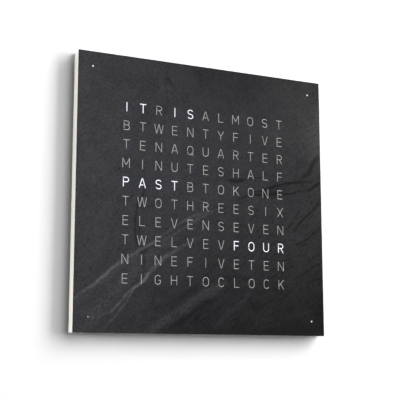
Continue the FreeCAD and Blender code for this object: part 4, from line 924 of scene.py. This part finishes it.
def make_screws():
    for head, shank, countersunk, names in SCREWS:
        for node in (f"{name}_screws" for name in names):
            shapes = []
            for index, (middle, size) in enumerate(solids(node)):
                made = screw(size[0] / 2, head, shank, size[1], countersunk)
                turn = Matrix.Rotation(0.7 + 1.9 * index, 4, "Z")
                shapes.append((moved(made, at(foot_of(middle, size, FRONT), REAR) @ turn), SCREW_STEEL))
            piece(f"{node}_crossed", "housing", shapes, [node])


# Turned parts. A profile has points from its low end and from its high end: (inset from the rim, depth).

AXIS = math.inf  # the inset of a point on the axis


def make_turned(node, suffix, facing, material, low, high, sides=40, body="housing", extras=()):
    """Replaces each solid of a node by one that is turned about the facing's Z."""
    parts = []
    for middle, size in solids(node):
        length, width = (size[0], max(size[1:])) if facing is RIGHT else (size[1], size[0])
        profile = [(max(width / 2 - inset, 0), depth) for inset, depth in low]
        profile += [(max(width / 2 - inset, 0), length - depth) for inset, depth in high]
        parts.append((moved(turned(profile, sides), at(foot_of(middle, size, facing), facing)), material))
    piece(f"{node}_{suffix}", body, [*parts, *extras], [node])


def make_magnets():
    """Magnets in the housing's front, and the dished steel discs that they hold on the cover's back."""
    low, rim = [(AXIS, 0), (0.3, 0), (0, 0.3)], [(0, 0.3), (0.3, 0), (0.75, 0)]
    flat, dished = [*rim, (0.9, 0), (AXIS, 0)], [*rim, (0.9, 0.12), (AXIS, 0.12)]
    make_turned("housing_magnets", "chamfered", FRONT, NICKEL, low, flat)
    make_turned("cover_discs", "chamfered", REAR, ZINC_DISC, low, dished, body="front_cover")


def make_buttons():
    """Metal caps: a collar inside the housing, a turned shaft, and a dished tip to press."""
    collar = [(AXIS, 0), (0.25, 0), (0, 0.25), (0, 0.95), (0.25, 1.2), (1.4, 1.2)]
    tip = [(1.4, 0.75), (1.52, 0.45), (1.7, 0.2), (2.05, 0), (2.35, 0), (3.0, 0.22), (AXIS, 0.3)]
    for name in ("hour", "minute", "light", "mode"):
        node = f"button_{name}"
        make_turned(node, "cap", RIGHT, BUTTON_METAL, collar, tip, 48, node)


# Things on the circuit boards: each stands on z = 0


def prism(outline, low, high):
    return stacked([(outline, low), (outline, high)])


def copies(shape, places, material):
    return [(shifted(shape, *place), material) for place in places]


def led(width, depth, height, lit):
    """An LED package: a moulded body with a round cup, its phosphor, and two pairs of terminals."""
    outline = rectangle(width - 0.3, depth, 0.15)
    cup, floor, low = circle(0.43 * depth, 20), circle(0.36 * depth, 20), height - 0.42
    sides = walled([(outline, 0), (outline, height)])
    body = joined(lid(outline, 0), sides, sunk(outline, cup, height, 0.42, floor))
    dome = [(0, low - 0.02), (0.355 * depth, low - 0.02), (0.37 * depth, low + 0.16), (0, low + 0.24)]
    x, y = width / 2 - 0.28, 0.27 * depth
    terminals = copies(block(0.55, 0.3 * depth, 0.32, 0.05), [(-x, -y), (-x, y), (x, -y), (x, y)], BRASS)
    return [(body, LED_BODY), (turned(dome, 20), LIT_LED if lit else PHOSPHOR), *terminals]


def moulded(width, depth, height, draft, dimple=0.0):
    """A moulded chip body that is widest at its parting line, with a round mark sunk at one corner."""
    cut = 0.06 * min(width, depth)
    narrow = rectangle(width - 2 * draft, depth - 2 * draft, cut)
    layers = [(narrow, 0), (rectangle(width, depth, cut), 0.42 * height), (narrow, height)]
    if not dimple:
        return stacked(layers)
    mark = circle(dimple, 16, -width / 2 + draft + 2.2 * dimple, -depth / 2 + draft + 2.2 * dimple)
    return joined(lid(*layers[0]), walled(layers), sunk(narrow, mark, height, 0.06))


def gull_leads(reach, height, width, count, pitch):
    """A row of bent leads along Y, from the body's side at x = 0 down to the board."""
    thick = 0.16
    profile = [(-0.15, height), (0.3 * reach, height), (0.56 * reach, thick), (reach, thick), (reach, 0)]
    profile += [(0.5 * reach, 0), (0.24 * reach, height - thick), (-0.15, height - thick)]
    lead = strip(profile, width)
    return joined(*(shifted(lead, y=(index - (count - 1) / 2) * pitch) for index in range(count)))


def chip(width, depth, height, span, count, pitch, sides=(0, 180)):
    """A chip with rows of leads that reach the given span, on the sides named by their angles about Z."""
    body = shifted(moulded(width, depth, height - 0.1, 0.25, 0.035 * (width + depth)), z=0.1)
    parts = [(body, EPOXY)]
    for angle in sides:
        edge = width / 2 if angle % 180 == 0 else depth / 2
        row = shifted(gull_leads(span / 2 - edge, 0.5 * height, 0.45 * pitch, count, pitch), x=edge - 0.05)
        parts.append((moved(row, turned_about(angle)), SOLDER))
    return parts


def passive(length, width, height, material):
    """A small resistor or capacitor with a metal cap at each end."""
    body = block(length * 0.62, width * 0.94, height * 0.94, 0.03)
    caps = copies(block(length * 0.2, width, height, 0.05), [(-0.4 * length,), (0.4 * length,)], SOLDER)
    return [(body, material), *caps]


def regulator(width, depth, height):
    """A power package: body, heat tab above it and two leads below."""
    body = shifted(moulded(width, 0.66 * depth, height - 0.5, 0.2), y=0.02 * depth, z=0.5)
    tab = shifted(prism(rectangle(0.84 * width, 0.98 * depth, 0.5), 0.0, 0.5), y=-0.01 * depth)
    leads = moved(gull_leads(0.19 * depth, 0.45 * height, 0.8, 2, 4.5), turned_about(90))
    return [(body, EPOXY), (tab, SOLDER), (shifted(leads, y=0.34 * depth), SOLDER)]


def can_capacitor(diameter, _, height):
    """An aluminium can with a rolled groove on a square plastic base."""
    base = prism(rectangle(diameter, diameter, 1.1), 0, 0.9)
    radius = diameter / 2 - 0.15
    layers = [(radius, 0.9), (radius, 1.7), (radius - 0.35, 2.0), (radius, 2.3), (radius, height - 0.5)]
    layers += [(radius - 0.15, height - 0.15), (radius - 0.5, height)]
    rings = [(circle(across, 40), z) for across, z in layers]
    top = sunk(rings[-1][0], cross(0.62 * radius, 0.16), height, 0.12)
    mark = shifted(prism(rectangle(diameter * 0.9, 0.6), 0.5, 1.0), y=diameter / 2 - 0.5)
    can = joined(lid(*rings[0]), walled(rings), top)
    return [(base, BLACK_PLASTIC), (can, CAN_METAL), (mark, BLACK_PLASTIC)]


def ribbon_connector(width, depth, height):
    """A flat-cable connector: body, hinged latch and a row of feet."""
    body = moulded(width, 0.78 * depth, 0.82 * height, 0.06)
    latch = shifted(moulded(width - 1.2, 0.3 * depth, 0.42 * height, 0.05), y=-0.2 * depth, z=0.58 * height)
    places = [(index - 5.5, 0.43 * depth) for index in range(12)]
    feet = copies(block(0.3, 0.14 * depth, 0.2, 0.03), places, SOLDER)
    end = (width / 2 - 0.1) * 0.97
    anchors = copies(block(0.7, 0.5 * depth, 0.3, 0.06), [(-end,), (end,)], SOLDER)
    return [(body, PLUG_WHITE), (latch, BLACK_PLASTIC), *feet, *anchors]


def wire_plug(width, depth, height):
    """A board header with the wire housing pushed into it: a rim, a catch, and windows over the contacts."""
    if depth > width:
        return placed(wire_plug(depth, width, height), turned_about(-90))
    rim = 0.44 * height
    wide = rectangle(width, depth, 0.25)
    header = stacked([(wide, 0), (wide, rim - 0.15), (rectangle(width - 0.3, depth - 0.3, 0.2), rim)])
    shell = shifted(moulded(width - 0.7, depth - 0.7, height - rim + 0.3, 0.08), z=rim - 0.3)
    catch = shifted(block(1.6, 0.5, 0.9, 0.1), y=depth / 2 - 0.25, z=height - 1.3)
    places = [(x * width, y * (depth / 2 - 0.37), rim + 0.35) for x in (-0.24, 0, 0.24) for y in (-1, 1)]
    windows = copies(block(0.8, 0.12, 0.32 * (height - rim), 0.03), places, BRASS)
    return [(header, PLUG_WHITE), (shell, PLUG_WHITE), (catch, PLUG_WHITE), *windows]


def replace_each(node, facing, made_for, lit_at=None):
    """Replaces each solid of a node by what is made for its size, and for being lit or not at its place."""
    parts = []
    for middle, size in solids(node):
        width, height, depth = size
        lamp = [lit_at(middle[0], middle[2])] if lit_at else []
        parts += placed(made_for(width, depth, height, *lamp), at(foot_of(middle, size, facing), facing))
    piece(f"{node}_detailed", "housing", parts, [node])


def sensor(width, depth, height):
    return placed(passive(depth, width, height, CLEAR_EPOXY), turned_about(90))


def driver(width, depth, height):
    return placed(chip(5.3, width, height, depth, 14, 0.65), turned_about(90))


def square_chip(width, depth, height):
    return chip(8.0, 8.0, height, width, 11, 0.65, (0, 90, 180, 270))


def small_chip(width, depth, height):
    return chip(3.9, depth, height, width, 4, 1.27)


def make_board_parts():
    replace_each("letter_leds", FRONT, led, letter_is_lit)
    replace_each("minute_leds", FRONT, led, dot_is_lit)
    replace_each("light_sensor", FRONT, sensor)
    for slot, made_for, nodes in (
        ("chip_epoxy", driver, ("led_drivers",)),
        ("chip_epoxy", square_chip, ("microcontroller",)),
        ("chip_epoxy", small_chip, ("clock_chip", "radio_chip")),
        ("chip_epoxy", regulator, ("voltage_regulator",)),
        ("can_metal", can_capacitor, ("power_capacitor",)),
        ("plug_plastic", ribbon_connector, ("led_board_connector", "control_connector")),
        ("plug_plastic", wire_plug, ("cable_plugs", "minute_plugs", "radio_plug", "key_plug")),
    ):
        for node in nodes:
            replace_each(node, REAR, made_for)


def make_crystal():
    """A watch crystal's can lying on the board, with its two leads bent down to it."""
    (middle, size), = solids("clock_crystal")
    end, board = middle[0] + size[0] / 2, middle[1] - size[1] / 2
    leads = []
    for side in (-0.35, 0.35):
        z = middle[2] + side
        path = [(end - 0.2, middle[1], z), (end + 0.8, middle[1], z + side * 0.6)]
        path += [(end + 1.2, middle[1] - 0.3, z + side), (end + 1.3, board + 0.1, z + side)]
        leads.append((swept(path, 0.13), SOLDER))
    low, high = [(AXIS, 0), (0.3, 0), (0, 0.35)], [(0, 0.7), (0.18, 0.6), (0.18, 0.15), (0.35, 0), (AXIS, 0)]
    make_turned("clock_crystal", "can", RIGHT, CAN_METAL, low, high, 24, extras=leads)


def make_cell():
    """A coin cell, plus side out, with its sealing ring."""
    low = [(AXIS, 0), (1.9, 0), (1.7, 0.35), (0.6, 0.4), (0.12, 0.6), (0, 0.9)]
    high = [(0, 0.35), (0.12, 0.1), (0.35, 0), (1.2, 0), (1.35, 0.05), (AXIS, 0.05)]
    make_turned("backup_cell", "can", REAR, CELL_STEEL, low, high, 64)


def make_antenna():
    """The radio's ferrite rod and its single layer of enamelled wire, with both ends led to the board."""
    low, high = [(AXIS, 0), (0.5, 0), (0, 0.5)], [(0, 0.5), (0.5, 0), (AXIS, 0)]
    make_turned("ferrite_rod", "ground", RIGHT, FERRITE, low, high)
    (_, rod_size), = solids("ferrite_rod")
    (middle, size), = solids("antenna_coil")
    bore, outer, length = rod_size[1] / 2 + 0.02, size[1] / 2, size[0]
    wire = 0.3  # half its thickness
    turns = int(length / (2 * wire))
    profile = [(bore, 0)]
    for turn in range(turns):
        z = (turn + 0.5) * length / turns
        for angle in map(math.radians, (150, 120, 90, 60, 30)):
            profile.append((outer - wire + wire * math.sin(angle), z + wire * math.cos(angle)))
    winding = turned([*profile, (bore, length), (bore, 0)], 32)
    parts = [(moved(winding, at(foot_of(middle, size, RIGHT), RIGHT)), COPPER)]
    _, pad, top = np.array(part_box("radio_board")[1]) / MM
    y = middle[1] + outer - wire
    for side in (-1, 1):
        x = middle[0] + side * (length / 2 - wire)
        path = [(x, y - 1.0, middle[2] + 3.9), (x, y, middle[2]), (x, y - 0.9, middle[2] - 4.5)]
        path += [(x + side * 1.0, y - 3.5, middle[2] - 9), (x + side * 1.5, pad + 0.4, top - 1.2)]
        path += [(x + side * 1.5, pad, top - 2.4)]
        parts.append((swept(path, 0.16), COPPER))
    piece("antenna_coil_wound", "housing", parts, ["antenna_coil"])


def make_jack_pin():
    """The supply socket's centre pin."""
    nose = [(0, 0.9), (0.15, 0.4), (0.5, 0.06), (AXIS, 0)]
    make_turned("dc_jack_pin", "rounded", RIGHT, BRASS, [(AXIS, 0), (0, 0)], nose, 24)


def make_guides():
    """Clear rods that carry each minute lamp's light to the face, with a polished rim and a small lens."""
    low = [(AXIS, 0), (0.25, 0), (0, 0.25)]
    high = [(0, 0.25), (0.25, 0), (1.1, 0), (1.5, 0.28), (2.2, 0.12), (AXIS, 0.05)]
    make_turned("minute_light_guides", "polished", FRONT, CLEAR, low, high)


# Small resistors and capacitors beside the chips: how far across and up, turned by how much, and if brown
PASSIVES = {
    "led_drivers": [(-8, 2.2, 90, True), (-8, -2.2, 90, True), (8, 0, 90, False)],
    "microcontroller": [
        (-7.5, 4, 0, True), (-7.5, -4, 0, True), (7.5, 4, 90, True),
        (-3, 7.6, 0, False), (0.5, 7.6, 0, False), (4, 7.6, 0, False),
    ],
    "clock_chip": [(-5.5, 0, 90, True), (5.5, 0.5, 90, False)],
    "voltage_regulator": [(-2.5, -6, 0, True), (2.5, -6, 0, True)],
    "radio_chip": [(-6, 1.5, 0, True), (-6, -1.5, 0, True), (6.2, 0, 90, False), (9.5, 0, 90, False)],
    "minute_plugs": [(0, 5, 0, False)],
}


def make_passives():
    parts = []
    for node, places in PASSIVES.items():
        for middle, size in solids(node):
            for across, up, turn, brown in places:
                made = passive(2.0, 1.25, 0.7, PASSIVE_BODY if brown else EPOXY)
                spot = foot_of(middle, size, REAR) + (across, 0, up)
                parts += placed(made, at(spot, REAR) @ turned_about(turn))
    piece("board_passives", "housing", parts)


make_screws()
make_magnets()
make_buttons()
make_board_parts()
make_crystal()
make_cell()
make_antenna()
make_jack_pin()
make_guides()
make_passives()

bpy.context.scene.view_settings.view_transform = "Standard"

# Camera

TARGET = Vector((-0.0107, -0.0205, -0.0047))
EYE = Vector((-0.66138, -1.41452, -0.27095))
camera = added("camera", bpy.data.cameras.new("camera"))
camera.data.sensor_width = 36.0
camera.data.lens = 84.891
camera.data.clip_end = 60.0
camera.location = EYE
camera.rotation_mode = "QUATERNION"
camera.rotation_quaternion = (TARGET - EYE).to_track_quat("-Z", "Y")
bpy.context.scene.camera = camera

# Stage and lights, in metres

WALL_GAP = 0.0006
WALL_SIDE = 3.2
WALL_GLOW = 0.018  # how much paler the wall's deepest shadow looks, as from a wide room's light
WALL_LIFT = 0.33  # what the wall gives to camera rays beyond its colour, so that it is white at plain light
WHITE = (1, 1, 1, 1)


def make_wall():
    """A white wall that is clear from behind."""
    mesh = bpy.data.meshes.new("wall")
    mesh.from_pydata([(x, WALL_GAP, z) for x, z in rectangle(WALL_SIDE, WALL_SIDE)], [], [(0, 1, 2, 3)])
    wall = added("wall", mesh)
    wall.visible_shadow = False
    look = Look("wall_paint")
    grain, seen = look.noise(1.5, 4), look.seen()
    look.finish(tint(WHITE[:3], 0.99), look.spread(grain, 0.85, 0.95), look.bump(grain, 0.05, 0.05))
    glow = {"Emission Color": WHITE, "Emission Strength": look.times(seen, WALL_GLOW)}
    look.give(look.shader, {"Specular IOR Level": 0.0} | glow)
    lift = look.node("ShaderNodeBsdfDiffuse", {"Color": look.times(seen, WALL_LIFT)}).outputs[0]
    front = look.node("ShaderNodeAddShader", {0: look.shader.outputs[0], 1: lift}).outputs[0]
    behind = look.node("ShaderNodeNewGeometry").outputs["Backfacing"]
    clear = look.node("ShaderNodeBsdfTransparent").outputs[0]
    both = look.node("ShaderNodeMixShader", {0: behind, 1: front, 2: clear}).outputs[0]
    look.give(look.tree.nodes["Material Output"], {"Surface": both})
    mesh.materials.append(look.owner)


def make_world(ambient, seen_strength):
    """White surroundings: what the camera sees of them is bright, and what they light is dim."""
    look = Look("studio", bpy.data.worlds.new("studio"))
    level = look.remap(look.seen(), 0.0, 1.0, ambient, seen_strength)
    look.give(look.tree.nodes["Background"], {"Color": WHITE, "Strength": level})
    bpy.context.scene.world = look.owner


def area_light(name, azimuth, elevation, distance, width, height, level):
    """A soft box at angles to the wall's normal. At level 1 it lights a card that faces it to white."""
    turn, rise = math.radians(azimuth), math.radians(elevation)
    away = Vector((math.sin(turn) * math.cos(rise), -math.cos(turn) * math.cos(rise), math.sin(rise)))
    data = bpy.data.lights.new(name, "AREA")
    data.shape = "RECTANGLE"
    data.size, data.size_y = width, height
    data.energy = level * math.pi**2 * distance**2
    lamp = added(name, data)
    lamp.location = away * distance
    lamp.rotation_mode = "QUATERNION"
    lamp.rotation_quaternion = away.to_track_quat("Z", "Y")


make_wall()
make_world(0.04, 1.0)
area_light("key", 59, 23, 8.0, 3.0, 8.7, 1.10)
area_light("front_fill", 24, 30, 8.0, 4.9, 9.4, 0.473)
area_light("side_fill", -87, 0, 4.0, 0.4, 1.6, 0.87)
area_light("rear", 180, 0, 6.0, 0.8, 0.8, 0.8)
for node in ("housing", "cover_carrier"):
    NODES[node].visible_diffuse = False  # the pale edge would light up its own shadow on the wall
